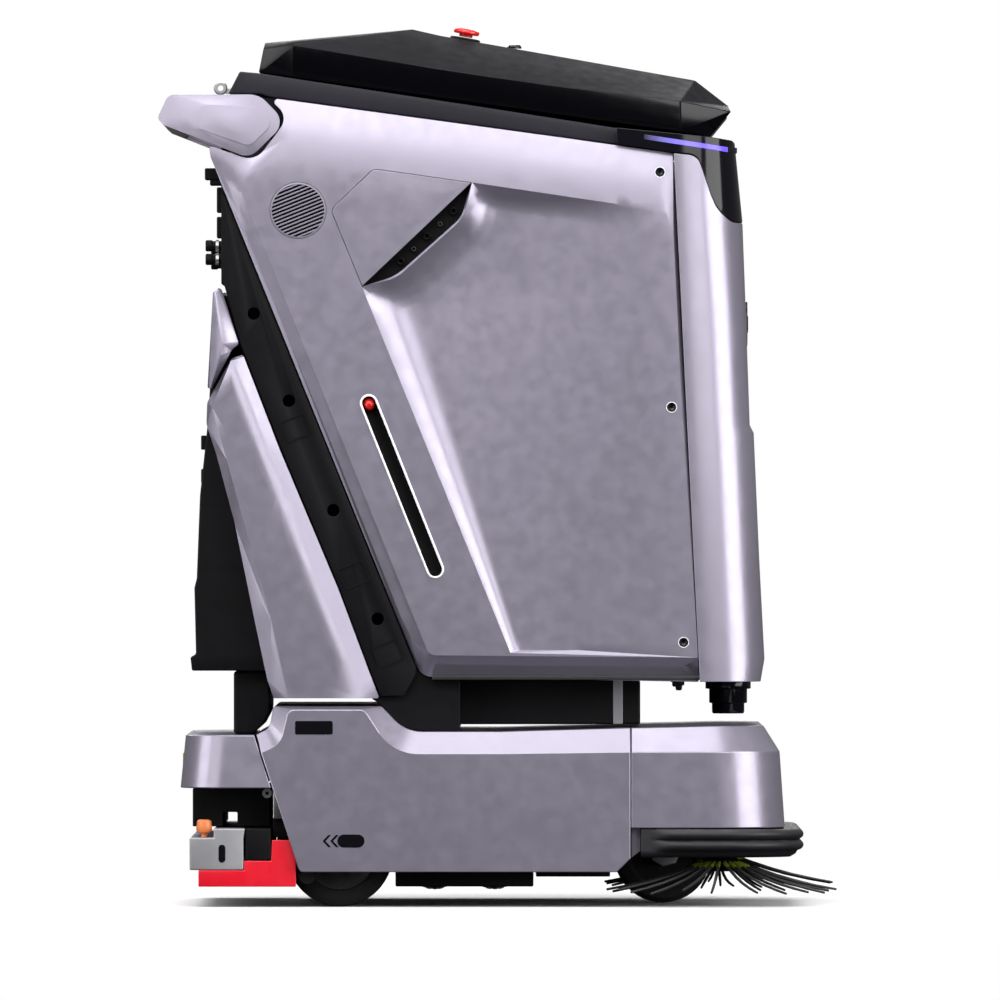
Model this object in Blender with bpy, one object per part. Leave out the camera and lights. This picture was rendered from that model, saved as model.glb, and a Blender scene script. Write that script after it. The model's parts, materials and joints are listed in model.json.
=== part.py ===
"""Robotic floor scrubber, as an assembly of separate parts.

Metres. +X is the machine's front, +Y its left side, +Z up. The origin is on the floor, under the middle of
the machine's bounding box. Side profiles are lists of (x, z) and plan profiles are lists of (x, y).
"""

import math

import bmesh
import bpy
from mathutils import Vector
from mathutils.geometry import delaunay_2d_cdt

# Driving widths and walls.
BODY_HALF_WIDTH = 0.295
BASE_HALF_WIDTH = 0.310
CHASSIS_HALF_WIDTH = 0.280
BLOCK_HALF_WIDTH = 0.200
TOP_FRAME_HALF_WIDTH = 0.282
WALL = 0.0035
GAP = 0.0005
SEAM = 0.001
RIGHT = -1
LEFT = 1
ARC_STEPS = 8
ROUND_STEPS = 40

# The base: two drive wheels, one swivel caster in front, and covers round a steel tray.
DRIVE_WHEEL_X = -0.2006
DRIVE_WHEEL_Y = 0.235
DRIVE_WHEEL_RADIUS = 0.0666
DRIVE_WHEEL_WIDTH = 0.045
DRIVE_HUB_RADIUS = 0.046
CASTER_RADIUS = 0.062
CASTER_WIDTH = 0.040
CASTER_TRAIL = 0.025
CASTER_AXLE_X = 0.2056
CASTER_SWIVEL_X = CASTER_AXLE_X + CASTER_TRAIL
TRAY_BOTTOM = 0.140
TRAY_THICKNESS = 0.008
TRAY_ENDS = (-0.284, 0.322)
BASE_SEAM_X = 0.163
BASE_BOTTOM = 0.044
BASE_SHOULDER_Z = 0.191
SHOULDER_SLOPE = 0.625
REAR_SEAM = ((-0.285, 0.149), (-0.306, 0.215))
# The rear of the base cover: lower edge (x, z), how far in front of the seam the shoulder is, top edge (x, z).
BASE_REAR_STATIONS = (
    ((-0.2510, 0.0480), 0.000, (-0.3050, 0.2150)), ((-0.2500, 0.0440), 0.002, (-0.2940, 0.2230)),
    ((-0.2480, 0.0440), 0.005, (-0.2860, 0.2400)), ((-0.2460, 0.0440), 0.008, (-0.2830, 0.2510)),
)
BASE_TOP_EDGE = (
    (-0.1480, 0.2510), (-0.1340, 0.2340), (-0.1140, 0.2220), (-0.0960, 0.2194), (-0.0370, 0.2194),
    (0.1460, 0.2236),
)
CONTACTS_X = -0.4004
CONTACTS_HALF_WIDTH = 0.050
BUMPER_END_X = 0.176
BUMPER_NOSE_X = 0.366

# The front side brushes.
BRUSH_X = 0.276
BRUSH_Y = 0.245
BRUSH_RADIUS = 0.1525
BRUSH_HUB_RADIUS = 0.025
BRUSH_TIP_Z = 0.015

# The scrub deck with its two roller brushes, drawn in its raised position.
DECK_REAR_X = -0.131
DECK_FRONT_X = 0.042
DECK_BOTTOM = 0.025
DECK_TOP = 0.118
DECK_HALF_WIDTH = 0.258
ROLLER_RADIUS = 0.0368
ROLLER_XS = (-0.0820, -0.0070)
ROLLER_Z = ROLLER_RADIUS + 0.0208
ROLLER_LENGTH = 0.494

# The squeegee, also drawn raised. Its holder, suction head and blade move together.
SQUEEGEE_HALF_WIDTH = 0.300
SQUEEGEE_PIVOT = (-0.350, 0, 0.046)
BLADE_THICKNESS = 0.009
KNOB_PLACE = (-0.370, -0.282, 0.0874)
GUIDE_ROLLER_PLACE = (-0.2415, 0.280, 0.040)

# The upper body.
PANEL_SKIN = 0.004
PANEL_TOP_FRONT = (0.2163, 0.9425)
PANEL_BOTTOM_FRONT = (0.2488, 0.2813)
FRONT_CORNER_RADIUS = 0.060
WINDOW_REAR_X = 0.144
WINDOW_SEAM = 0.003
SIDE_STEP_X = 0.230
PANEL_OUTLINE = (
    (-0.2880, 1.0120), (-0.2710, 0.9975), (-0.2655, 0.9830), (-0.2700, 0.9670), (-0.2970, 0.9400),
    (-0.3120, 0.9345), (-0.3250, 0.9363), (-0.3645, 0.9525), (-0.3634, 0.9405), (-0.3490, 0.9070),
    (-0.1023, 0.2964), (-0.0866, 0.2881), PANEL_BOTTOM_FRONT, PANEL_TOP_FRONT, (0.0750, 0.9625),
)
RECESS_EDGE = (
    (-0.0340, 0.9050), (0.2080, 0.8700), (0.2220, 0.6000), (0.2150, 0.3300), (0.0130, 0.3180),
    (-0.0625, 0.4970), (-0.1725, 0.7755),
)
RECESS_FLOOR = (
    ((-0.0480, 0.8720), 0.014), ((0.1500, 0.8500), 0.005), ((0.1900, 0.6000), 0.003),
    ((0.1700, 0.3700), 0.002),
    ((0.0400, 0.3550), 0.003), ((-0.0250, 0.5100), 0.008), ((-0.1200, 0.7650), 0.014),
)
SPEAKER_CENTER = (-0.2525, 0.8710)
SPEAKER_RADIUS = 0.035
LEVEL_TOP = (-0.1640, 0.6300)
LEVEL_BOTTOM = (-0.0810, 0.4220)
LEVEL_HALF_WIDTH = 0.0109
FLOAT_RADIUS = 0.0079
FLOAT_Y = -0.2852
SPINE_FACES = (0.272, 0.277)
SPINE_HOLES = ((-0.3080, 0.7420), (-0.2640, 0.6330), (-0.2085, 0.4960), (-0.1530, 0.3600))
SPINE_HOLE_RADIUS = 0.0078
COVER_FACES = (0.240, 0.293)
RECOVERY_HALF_WIDTH = 0.236
CLEAN_HALF_WIDTH = 0.262
TANK_WALL = 0.004
FRONT_EDGE = (
    # the front cover's nose: (height, x)
    (0.2816, 0.3265), (0.3100, 0.3315), (0.4340, 0.3250), (0.5940, 0.3180), (0.6020, 0.3130),
    (0.7340, 0.3085),
    (0.8560, 0.3040), (0.9560, 0.2940),
)
SWOOP = (
    (0.2163, 0.9425), (0.2400, 0.9395), (0.2500, 0.9316), (0.2680, 0.8825), (0.2855, 0.8560), (0.3040, 0.8555),
)

# The lid and what it carries. Its hinge is at the rear lower edge.
LID_HINGE = (-0.3020, 1.0440)
LID_HALF_WIDTH = 0.285
LID_SECTIONS = (
    # lower edge (x, z), ridge (x, z), plateau (x, z), then the half widths of the three
    ((-0.3020, 1.0440), (-0.2960, 1.0740), (-0.2950, 1.0825), 0.262, 0.266, 0.195),
    ((-0.2600, 1.0381), (-0.2580, 1.0785), (-0.2580, 1.0860), 0.273, LID_HALF_WIDTH, 0.195),
    ((-0.1100, 1.0169), (-0.1100, 1.0542), (-0.1100, 1.1000), 0.273, LID_HALF_WIDTH, 0.185),
    ((-0.0750, 1.0119), (-0.0750, 1.0485), (-0.0750, 1.0920), 0.273, LID_HALF_WIDTH, 0.185),
    ((0.0670, 0.9918), (0.0675, 1.0270), (0.0670, 1.0672), 0.273, LID_HALF_WIDTH, 0.185),
    ((0.2260, 0.9694), (0.2260, 1.0080), (0.2450, 1.0360), 0.265, 0.276, 0.175),
    ((0.2640, 0.9640), (0.2900, 0.9960), (0.2870, 1.0040), 0.215, 0.225, 0.160),
)
ESTOP_X = -0.044
ESTOP_Y = -0.155
SCREEN_SIZE = (0.136, 0.217)
SCREEN_CENTER_X = -0.205

HANDLE_OUTLINE = (
    (-0.4140, 1.0160), (-0.4285, 0.9880), (-0.4220, 0.9790), (-0.3620, 0.9570), (-0.3230, 0.9405),
    (-0.3130, 0.9390), (-0.3000, 0.9440), (-0.2740, 0.9700), (-0.2700, 0.9820), (-0.2750, 0.9940),
    (-0.2920, 1.0100), (-0.3060, 1.0160),
)
HANDLE_HALF_WIDTH = 0.298
HANDLE_ARM = 0.034
HANDLE_BAR_DEPTH = 0.031

FINISHES = {
    # name: (colour, roughness, metallic)
    "silver_paint": ((0.29, 0.26, 0.33), 0.32, 0.55),
    "dark_frame": ((0.027, 0.026, 0.033), 0.45, 0.0),
    "black_plastic": ((0.010, 0.010, 0.011), 0.50, 0.0),
    "lid_plastic": ((0.016, 0.016, 0.020), 0.35, 0.0),
    "gloss_black": ((0.004, 0.004, 0.006), 0.08, 0.0),
    "steel": ((0.45, 0.45, 0.46), 0.35, 1.0),
    "tank_plastic": ((0.60, 0.63, 0.66), 0.45, 0.0),
    "tyre_rubber": ((0.012, 0.012, 0.012), 0.75, 0.0),
    "hub_plastic": ((0.045, 0.045, 0.048), 0.50, 0.0),
    "bristle": ((0.020, 0.020, 0.020), 0.60, 0.0),
    "roller_bristle": ((0.060, 0.070, 0.090), 0.70, 0.0),
    "blade_red": ((0.870, 0.006, 0.026), 0.45, 0.0),
    "button_red": ((0.620, 0.010, 0.008), 0.35, 0.0),
    "knob_orange": ((0.780, 0.230, 0.080), 0.45, 0.0),
    "led_lens": ((0.100, 0.050, 1.000), 0.30, 0.0),
    "brass": ((0.700, 0.450, 0.150), 0.30, 1.0),
    "bracket_grey": ((0.230, 0.230, 0.240), 0.40, 0.3),
}


# Making objects.


def clear_scene():
    for obj in list(bpy.data.objects):
        bpy.data.objects.remove(obj, do_unlink=True)


def finish_material(finish):
    name = "finish_" + finish
    material = bpy.data.materials.get(name)
    if material:
        return material
    color, roughness, metallic = FINISHES[finish]
    material = bpy.data.materials.new(name)
    material.use_nodes = True
    shader = material.node_tree.nodes["Principled BSDF"]
    shader.inputs["Base Color"].default_value = (*color, 1.0)
    shader.inputs["Roughness"].default_value = roughness
    shader.inputs["Metallic"].default_value = metallic
    return material


def add_object(name, vertices, faces, finish):
    mesh = bpy.data.meshes.new(name)
    mesh.from_pydata([tuple(vertex) for vertex in vertices], [], faces)
    mesh.update()
    mesh.materials.append(finish_material(finish))
    obj = bpy.data.objects.new(name, mesh)
    bpy.context.collection.objects.link(obj)
    return obj


def face_outwards(obj):
    """Turns the faces of a closed mesh outwards."""
    mesh = bmesh.new()
    mesh.from_mesh(obj.data)
    bmesh.ops.recalc_face_normals(mesh, faces=mesh.faces)
    mesh.to_mesh(obj.data)
    mesh.free()
    return obj


def smooth(obj, angle=35.0):
    obj.data.shade_smooth()
    obj.data.set_sharp_from_angle(angle=math.radians(angle))
    return obj


def set_origin(obj, point):
    """Moves an object's origin to a point and leaves its shape where it is."""
    shift = Vector(point)
    for vertex in obj.data.vertices:
        vertex.co -= shift
    obj.location = shift
    return obj


def placed(axis, a, b, along):
    """A profile's point (a, b) at a distance along the axis that the profile is extruded on."""
    return {"X": (along, a, b), "Y": (a, along, b), "Z": (a, b, along)}[axis]


def prism(name, outline, axis, low, high, finish):
    """A closed outline extruded from low to high. It is (x, z) for Y, (x, y) for Z and (y, z) for X."""
    count = len(outline)
    vertices = [placed(axis, a, b, low) for a, b in outline]
    vertices += [placed(axis, a, b, high) for a, b in outline]
    faces = [tuple(range(count)), tuple(range(count, 2 * count))]
    for i in range(count):
        j = (i + 1) % count
        faces.append((i, j, count + j, count + i))
    return face_outwards(add_object(name, vertices, faces, finish))


def box(name, low, high, finish):
    outline = ((low[0], low[1]), (high[0], low[1]), (high[0], high[1]), (low[0], high[1]))
    return prism(name, outline, "Z", low[2], high[2], finish)


def turned(name, profile, axis, center, finish, steps=ROUND_STEPS, ring=False):
    """A profile of (radius, height) turned round an axis. It ends on the axis, or is a closed ring."""
    vertices = []
    rows = []
    for radius, height in profile:
        around = 1 if radius == 0 else steps
        row = []
        for step in range(around):
            angle = 2 * math.pi * step / steps
            row.append(len(vertices))
            vertices.append(placed(axis, radius * math.cos(angle), radius * math.sin(angle), height))
        rows.append(row)
    pairs = list(zip(rows, rows[1:]))
    if ring:
        pairs.append((rows[-1], rows[0]))
    faces = []
    for first, second in pairs:
        for step in range(steps):
            after = (step + 1) % steps
            corners = [first[step % len(first)], first[after % len(first)]]
            corners += [second[after % len(second)], second[step % len(second)]]
            faces.append(tuple(dict.fromkeys(corners)))
    obj = face_outwards(add_object(name, vertices, faces, finish))
    obj.location = center
    return smooth(obj)


def loft(name, rings, finish):
    """A solid through closed rings of points, with flat ends."""
    count = len(rings[0])
    vertices = [point for ring in rings for point in ring]
    last = (len(rings) - 1) * count
    faces = [tuple(range(count)), tuple(range(last, last + count))]
    for row in range(len(rings) - 1):
        for i in range(count):
            j = (i + 1) % count
            start = row * count
            faces.append((start + i, start + j, start + count + j, start + count + i))
    return face_outwards(add_object(name, vertices, faces, finish))


def skin(name, rows, finish, thickness=WALL, close_ends=(False, False)):
    """A shell whose outer face runs through rows of points, thickened inwards."""
    count = len(rows[0])
    vertices = [Vector(point) for row in rows for point in row]
    faces = []
    for row in range(len(rows) - 1):
        for i in range(count - 1):
            start = row * count + i
            faces.append((start, start + 1, start + count + 1, start + count))
    last = (len(rows) - 1) * count
    if close_ends[0]:
        faces.append(tuple(reversed(range(count))))
    if close_ends[1]:
        faces.append(tuple(range(last, last + count)))
    obj = add_object(name, vertices, faces, finish)
    middle = sum(vertices, Vector()) / len(vertices)
    outward = sum(face.area * face.normal.dot(face.center - middle) for face in obj.data.polygons)
    if outward < 0:
        obj.data.flip_normals()
    solidify = obj.modifiers.new("thickness", "SOLIDIFY")
    solidify.thickness = thickness
    solidify.offset = -1
    solidify.use_even_offset = True
    return obj


def combine(obj, other, operation="DIFFERENCE"):
    """Cuts, joins or intersects an object with a helper object, which isn't part of the machine."""
    other.hide_render = True
    other.display_type = "WIRE"
    modifier = obj.modifiers.new(operation.lower(), "BOOLEAN")
    modifier.operation = operation
    modifier.object = other
    modifier.solver = "EXACT"
    return obj


# Working out profiles.


def line_at(start, end, x):
    """The height of the line from start to end at x."""
    share = (x - start[0]) / (end[0] - start[0])
    return start[1] + share * (end[1] - start[1])


def height_at(points, x):
    """The height of a polyline at x, held level past its ends."""
    if x <= points[0][0]:
        return points[0][1]
    for start, end in zip(points, points[1:]):
        if x <= end[0]:
            return line_at(start, end, x)
    return points[-1][1]


def inset(outline, distance):
    """An outline moved inwards by a distance."""
    count = len(outline)
    doubled_area = 0.0
    for i in range(count):
        (x0, z0), (x1, z1) = outline[i], outline[(i + 1) % count]
        doubled_area += x0 * z1 - x1 * z0
    turn = math.copysign(1.0, doubled_area)
    moved = []
    for i in range(count):
        before = Vector(outline[i - 1])
        here = Vector(outline[i])
        after = Vector(outline[(i + 1) % count])
        first = (here - before).normalized()
        second = (after - here).normalized()
        first_inward = Vector((-first.y, first.x)) * turn
        second_inward = Vector((-second.y, second.x)) * turn
        middle = first_inward + second_inward
        moved.append(tuple(here + middle * (distance / (1 + first_inward.dot(second_inward)))))
    return moved


def circle(center, radius, steps=ROUND_STEPS):
    points = []
    for step in range(steps):
        angle = 2 * math.pi * step / steps
        points.append((center[0] + radius * math.cos(angle), center[1] + radius * math.sin(angle)))
    return points


def slot_outline(start, end, half_width, steps=8):
    """A slot with round ends, from the middle of one end to the middle of the other."""
    along = (Vector(end) - Vector(start)).normalized()
    heading = math.atan2(along.y, along.x)
    points = []
    for center, turn in ((end, -math.pi / 2), (start, math.pi / 2)):
        for step in range(steps + 1):
            angle = heading + turn + math.pi * step / steps
            out = Vector((math.cos(angle), math.sin(angle))) * half_width
            points.append(tuple(Vector(center) + out))
    return points


def wrap_path(end_x, nose_x, half_width, radius, side_xs=()):
    """The plan path of a cover that wraps round one end of the machine, from right to left."""
    heading = math.copysign(1.0, nose_x - end_x)
    right = [(end_x, -half_width)]
    right += [(x, -half_width) for x in side_xs]
    for step in range(ARC_STEPS + 1):
        angle = math.pi / 2 * step / ARC_STEPS
        x = nose_x - heading * radius * (1 - math.sin(angle))
        right.append((x, -half_width + radius * (1 - math.cos(angle))))
    return right + [(x, -y) for x, y in reversed(right)]


def offset_path(path, distance):
    """A plan path moved outwards. Its right end comes first."""
    moved = []
    for i, point in enumerate(path):
        before = Vector(path[max(i - 1, 0)])
        after = Vector(path[min(i + 1, len(path) - 1)])
        along = (after - before).normalized()
        moved.append((point[0] + along.y * distance, point[1] - along.x * distance))
    return moved


def slanted(points, z):
    """The x of a slanted edge at a height."""
    (x0, z0), (x1, z1) = points
    return x0 + (z - z0) / (z1 - z0) * (x1 - x0)


# The base.


def make_chassis():
    flange = 0.010
    flange_drop = 0.030
    half = CHASSIS_HALF_WIDTH
    top = TRAY_BOTTOM + TRAY_THICKNESS
    section = (
        (-half, TRAY_BOTTOM - flange_drop), (-half + flange, TRAY_BOTTOM - flange_drop),
        (-half + flange, TRAY_BOTTOM), (half - flange, TRAY_BOTTOM),
        (half - flange, TRAY_BOTTOM - flange_drop),
        (half, TRAY_BOTTOM - flange_drop), (half, top), (-half, top),
    )
    prism("chassis_tray", section, "X", *TRAY_ENDS, "steel")
    arms_half = 0.240
    arms = (
        (-0.385, 0.100), (-0.347, 0.100), (-0.347, 0.118), (-0.329, 0.118), (-0.329, 0.100),
        (-0.288, 0.100), (-0.288, 0.148), (-0.385, 0.148),
    )
    prism("squeegee_lift_bracket", arms, "Y", -arms_half, arms_half, "black_plastic")


def base_section(bottom, shoulder, top):
    """One station of the base cover: right lower edge, shoulder, top edge, and the same on the left."""
    points = []
    for (x, z), half in (
        (bottom, BASE_HALF_WIDTH),
        (shoulder, BASE_HALF_WIDTH),
        (top, BASE_HALF_WIDTH - SHOULDER_SLOPE * (top[1] - BASE_SHOULDER_Z)),
    ):
        points.append((x, -half, z))
    return points + [(x, -y, z) for x, y, z in reversed(points)]


def make_base_shell():
    rear_x = slanted(REAR_SEAM, BASE_SHOULDER_Z)
    rows = []
    for lower, shift, top in BASE_REAR_STATIONS:
        rows.append(base_section(lower, (rear_x + shift, BASE_SHOULDER_Z), top))
    for x, z in BASE_TOP_EDGE:
        rows.append(base_section((x, BASE_BOTTOM), (x, BASE_SHOULDER_Z), (x, z)))
    front = BASE_SEAM_X
    rows.append(base_section((front, 0.061), (front, BASE_SHOULDER_Z), (front, 0.2240)))
    skin("base_shell", rows, "silver_paint")


def make_front_shell():
    start = BASE_SEAM_X + SEAM
    rows = []
    for z, nose, half, radius in (
        (0.0990, 0.3570, BASE_HALF_WIDTH, 0.085),
        (0.1940, 0.3505, BASE_HALF_WIDTH, 0.085),
        (0.2265, 0.3300, 0.2885, 0.070),
    ):
        rows.append([(x, y, z) for x, y in wrap_path(start, nose, half, radius)])
    skin("front_shell", rows, "silver_paint", close_ends=(False, True))


def make_rear_shell():
    rows = []
    for z, nose, half in (
        (0.1490, -0.4000, BASE_HALF_WIDTH),
        (0.1910, -0.3955, BASE_HALF_WIDTH),
        (0.2150, -0.3930, 0.2950),
    ):
        start = slanted(REAR_SEAM, z) - SEAM
        rows.append([(x, y, z) for x, y in wrap_path(start, nose, half, 0.060)])
    skin("rear_shell", rows, "silver_paint", close_ends=(False, True))
    plate = ((CONTACTS_X, 0.160), (-0.3993, 0.160), (-0.3962, 0.190), (CONTACTS_X, 0.190))
    prism("charging_contact_plate", plate, "Y", -CONTACTS_HALF_WIDTH, CONTACTS_HALF_WIDTH, "brass")


def make_drive_wheel(side):
    label = "right" if side == RIGHT else "left"
    center = (DRIVE_WHEEL_X, side * DRIVE_WHEEL_Y, DRIVE_WHEEL_RADIUS)
    half = DRIVE_WHEEL_WIDTH / 2
    tread = DRIVE_WHEEL_RADIUS
    inner = DRIVE_HUB_RADIUS
    tyre = (
        (inner, -half + 0.002), (tread - 0.006, -half), (tread, -half + 0.005),
        (tread, half - 0.005), (tread - 0.006, half), (inner, half - 0.002),
    )
    turned("drive_tyre_" + label, tyre, "Y", center, "tyre_rubber", steps=48, ring=True)
    hub = (
        (0, -half + 0.004), (0.014, -half + 0.004), (0.018, -half + 0.010), (inner - 0.008, -half + 0.010),
        (inner - GAP, -half + 0.004), (inner - GAP, half - 0.004), (inner - 0.008, half - 0.010),
        (0.018, half - 0.010), (0.014, half - 0.004), (0, half - 0.004),
    )
    turned("drive_hub_" + label, hub, "Y", center, "hub_plastic")
    radius = 0.040
    top = TRAY_BOTTOM - GAP
    motor = [(DRIVE_WHEEL_X - radius, top)]
    half_turn = 12
    for step in range(half_turn + 1):
        angle = math.pi + math.pi * step / half_turn
        motor.append((DRIVE_WHEEL_X + radius * math.cos(angle), center[2] + radius * math.sin(angle)))
    motor.append((DRIVE_WHEEL_X + radius, top))
    near = side * 0.090
    far = side * (DRIVE_WHEEL_Y - half - 0.003)
    prism("drive_motor_" + label, motor, "Y", min(near, far), max(near, far), "black_plastic")


def make_caster():
    crown_bottom = 0.1265
    top = TRAY_BOTTOM - GAP
    legs = (
        (0.2060, top), (0.2550, top), (0.2550, crown_bottom), (0.2220, 0.0500), (0.2060, 0.0460),
        (0.1920, 0.0540), (0.1920, 0.0700), (0.2060, crown_bottom),
    )
    fork_half = 0.031
    slot_half = CASTER_WIDTH / 2 + 0.0045
    fork = prism("caster_fork", legs, "Y", -fork_half, fork_half, "steel")
    slot = box("caster_slot_guide", (0.10, -slot_half, 0.0), (0.30, slot_half, crown_bottom), "steel")
    combine(fork, slot)
    set_origin(fork, (CASTER_SWIVEL_X, 0, top))
    half = CASTER_WIDTH / 2
    wheel = (
        (0, -half - 0.003), (0.012, -half - 0.003), (0.016, -half + 0.006), (0.040, -half + 0.006),
        (0.044, -half), (CASTER_RADIUS - 0.006, -half), (CASTER_RADIUS, -half + 0.007),
        (CASTER_RADIUS, half - 0.007),
        (CASTER_RADIUS - 0.006, half), (0.044, half), (0.040, half - 0.006), (0.016, half - 0.006),
        (0.012, half + 0.003), (0, half + 0.003),
    )
    turned("caster_wheel", wheel, "Y", (CASTER_AXLE_X, 0, CASTER_RADIUS), "tyre_rubber", steps=48)


def make_side_brush(side):
    label = "right" if side == RIGHT else "left"
    center = (BRUSH_X, side * BRUSH_Y, 0)
    brush = (
        (0, 0.044), (0.018, 0.044), (BRUSH_HUB_RADIUS, 0.048), (BRUSH_RADIUS, BRUSH_TIP_Z),
        (BRUSH_RADIUS, BRUSH_TIP_Z + 0.005), (BRUSH_HUB_RADIUS, 0.060), (0.014, 0.066), (0.010, 0.0695),
        (0, 0.0695),
    )
    turned("side_brush_" + label, brush, "Z", center, "bristle")
    motor = ((0, 0.0702), (0.024, 0.0702), (0.024, TRAY_BOTTOM - GAP), (0, TRAY_BOTTOM - GAP))
    turned("side_brush_motor_" + label, motor, "Z", center, "black_plastic", steps=32)


def make_scrub_deck():
    deck = box(
        "scrub_deck", (DECK_REAR_X, -DECK_HALF_WIDTH, DECK_BOTTOM), (DECK_FRONT_X, DECK_HALF_WIDTH, DECK_TOP),
        "black_plastic",
    )
    wall = 0.004
    cavity_half = DECK_HALF_WIDTH - wall
    cavity = box(
        "scrub_deck_guide", (DECK_REAR_X + wall, -cavity_half, 0), (DECK_FRONT_X - wall, cavity_half, 0.100),
        "black_plastic",
    )
    combine(deck, cavity)
    set_origin(deck, ((DECK_REAR_X + DECK_FRONT_X) / 2, 0, DECK_TOP))
    half = ROLLER_LENGTH / 2
    for name, x in zip(("roller_brush_rear", "roller_brush_front"), ROLLER_XS):
        profile = (
            (0, -half - 0.004), (0.010, -half - 0.004), (0.010, -half), (ROLLER_RADIUS, -half),
            (ROLLER_RADIUS, half), (0.010, half), (0.010, half + 0.004), (0, half + 0.004),
        )
        turned(name, profile, "Y", (x, 0, ROLLER_Z), "roller_bristle", steps=32)


def make_debris_bin():
    low = (0.045, -0.235, 0.037)
    high = (0.138, 0.235, 0.110)
    debris = box("debris_bin", low, high, "black_plastic")
    wall = 0.003
    inner_low = [value + wall for value in low]
    inner_high = (high[0] - wall, high[1] - wall, 0.200)
    combine(debris, box("debris_bin_guide", inner_low, inner_high, "black_plastic"))


def make_squeegee():
    half = SQUEEGEE_HALF_WIDTH
    rear_x = -0.377
    outline = (
        (rear_x, 0.0256), (-0.255, 0.0256), (-0.255, 0.084), (-0.285, 0.084), (-0.286, 0.058),
        (-0.320, 0.058),
        (-0.320, 0.046), (rear_x, 0.046),
    )
    blade = prism("squeegee_blade", outline, "Y", -half, half, "blade_red")
    inner = half - BLADE_THICKNESS
    low, high = (rear_x + BLADE_THICKNESS, -inner, 0), (-0.200, inner, 0.2)
    combine(blade, box("squeegee_blade_guide", low, high, "blade_red"))
    holder = (
        (-0.388, 0.0464), (-0.3205, 0.0464), (-0.3205, 0.087), (-0.3185, 0.0985), (-0.358, 0.0985),
        (-0.358, 0.087), (-0.388, 0.087),
    )
    frame = prism("squeegee_frame", holder, "Y", -half, half, "bracket_grey")
    section = ((-0.3180, 0.0584), (-0.2860, 0.0584), (-0.2860, 0.0985), (-0.3180, 0.0985))
    head = prism("squeegee_suction_head", section, "Y", -half, half, "black_plastic")
    for piece in (blade, frame, head):
        set_origin(piece, SQUEEGEE_PIVOT)
    knob = (
        (0, 0), (0.004, 0), (0.004, 0.005), (0.009, 0.006), (0.010, 0.010), (0.009, 0.020), (0.006, 0.022),
        (0, 0.022),
    )
    turned("squeegee_knob", knob, "Z", KNOB_PLACE, "knob_orange", steps=24)
    roller = ((0, -0.008), (0.011, -0.008), (0.0125, -0.005), (0.0125, 0.005), (0.011, 0.008), (0, 0.008))
    x, y, z = GUIDE_ROLLER_PLACE
    turned("squeegee_roller_right", roller, "Y", (x, -y, z), "tyre_rubber", steps=24)
    turned("squeegee_roller_left", roller, "Y", (x, y, z), "tyre_rubber", steps=24)


def make_bumper():
    path = wrap_path(BUMPER_END_X, BUMPER_NOSE_X, BASE_HALF_WIDTH - SEAM, 0.085, side_xs=(0.202,))
    profile = (
        # distance out from the path, height
        (-0.012, 0.0975), (0.008, 0.0975), (0.013, 0.0945), (0.014, 0.0908), (0.0125, 0.0865),
        (0.010, 0.0840),
        (0.0145, 0.0810), (0.0160, 0.0770), (0.0145, 0.0725), (0.009, 0.0700), (0.000, 0.0620),
        (-0.012, 0.0620),
    )
    lanes = [offset_path(path, distance) for distance, _ in profile]
    rings = []
    for i in range(len(path)):
        rings.append([(lane[i][0], lane[i][1], z) for lane, (_, z) in zip(lanes, profile)])
    set_origin(loft("bumper", rings, "black_plastic"), (BUMPER_NOSE_X, 0, 0.080))


# Inside the base and between the base and the body.


def make_base_contents():
    floor = TRAY_BOTTOM + TRAY_THICKNESS + GAP
    half = BLOCK_HALF_WIDTH
    box("control_box", (-0.255, -half, floor), (-0.060, half, 0.208), "black_plastic")
    motor = ((0, floor), (0.060, floor), (0.060, 0.185), (0.045, 0.205), (0, 0.205))
    turned("suction_motor", motor, "Z", (0.020, 0.110, 0), "black_plastic", steps=32)
    box("water_pump", (-0.020, -0.150, floor), (0.070, -0.070, 0.200), "hub_plastic")
    column = ((-0.1310, 0.2360), (-0.1180, 0.2275), (0.1760, 0.2275), (0.1760, 0.2832), (-0.1310, 0.2832))
    prism("centre_column", column, "Y", -half, half, "black_plastic")
    rear = (
        (-0.334, 0.2156), (-0.310, 0.2156), (-0.298, 0.2260), (-0.289, 0.2430), (-0.2875, 0.2945),
        (-0.334, 0.2945),
    )
    rear_half = half + 0.010
    prism("rear_column", rear, "Y", -rear_half, rear_half, "black_plastic")


def make_lidar():
    profile = (
        (0, 0.239), (0.0195, 0.239), (0.0205, 0.242), (0.0205, 0.252), (0.024, 0.2525), (0.024, 0.270),
        (0.0287, 0.2705), (0.0287, 0.2812), (0, 0.2812),
    )
    turned("lidar", profile, "Z", (0.2886, 0, 0), "gloss_black")


# The upper body.


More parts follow.
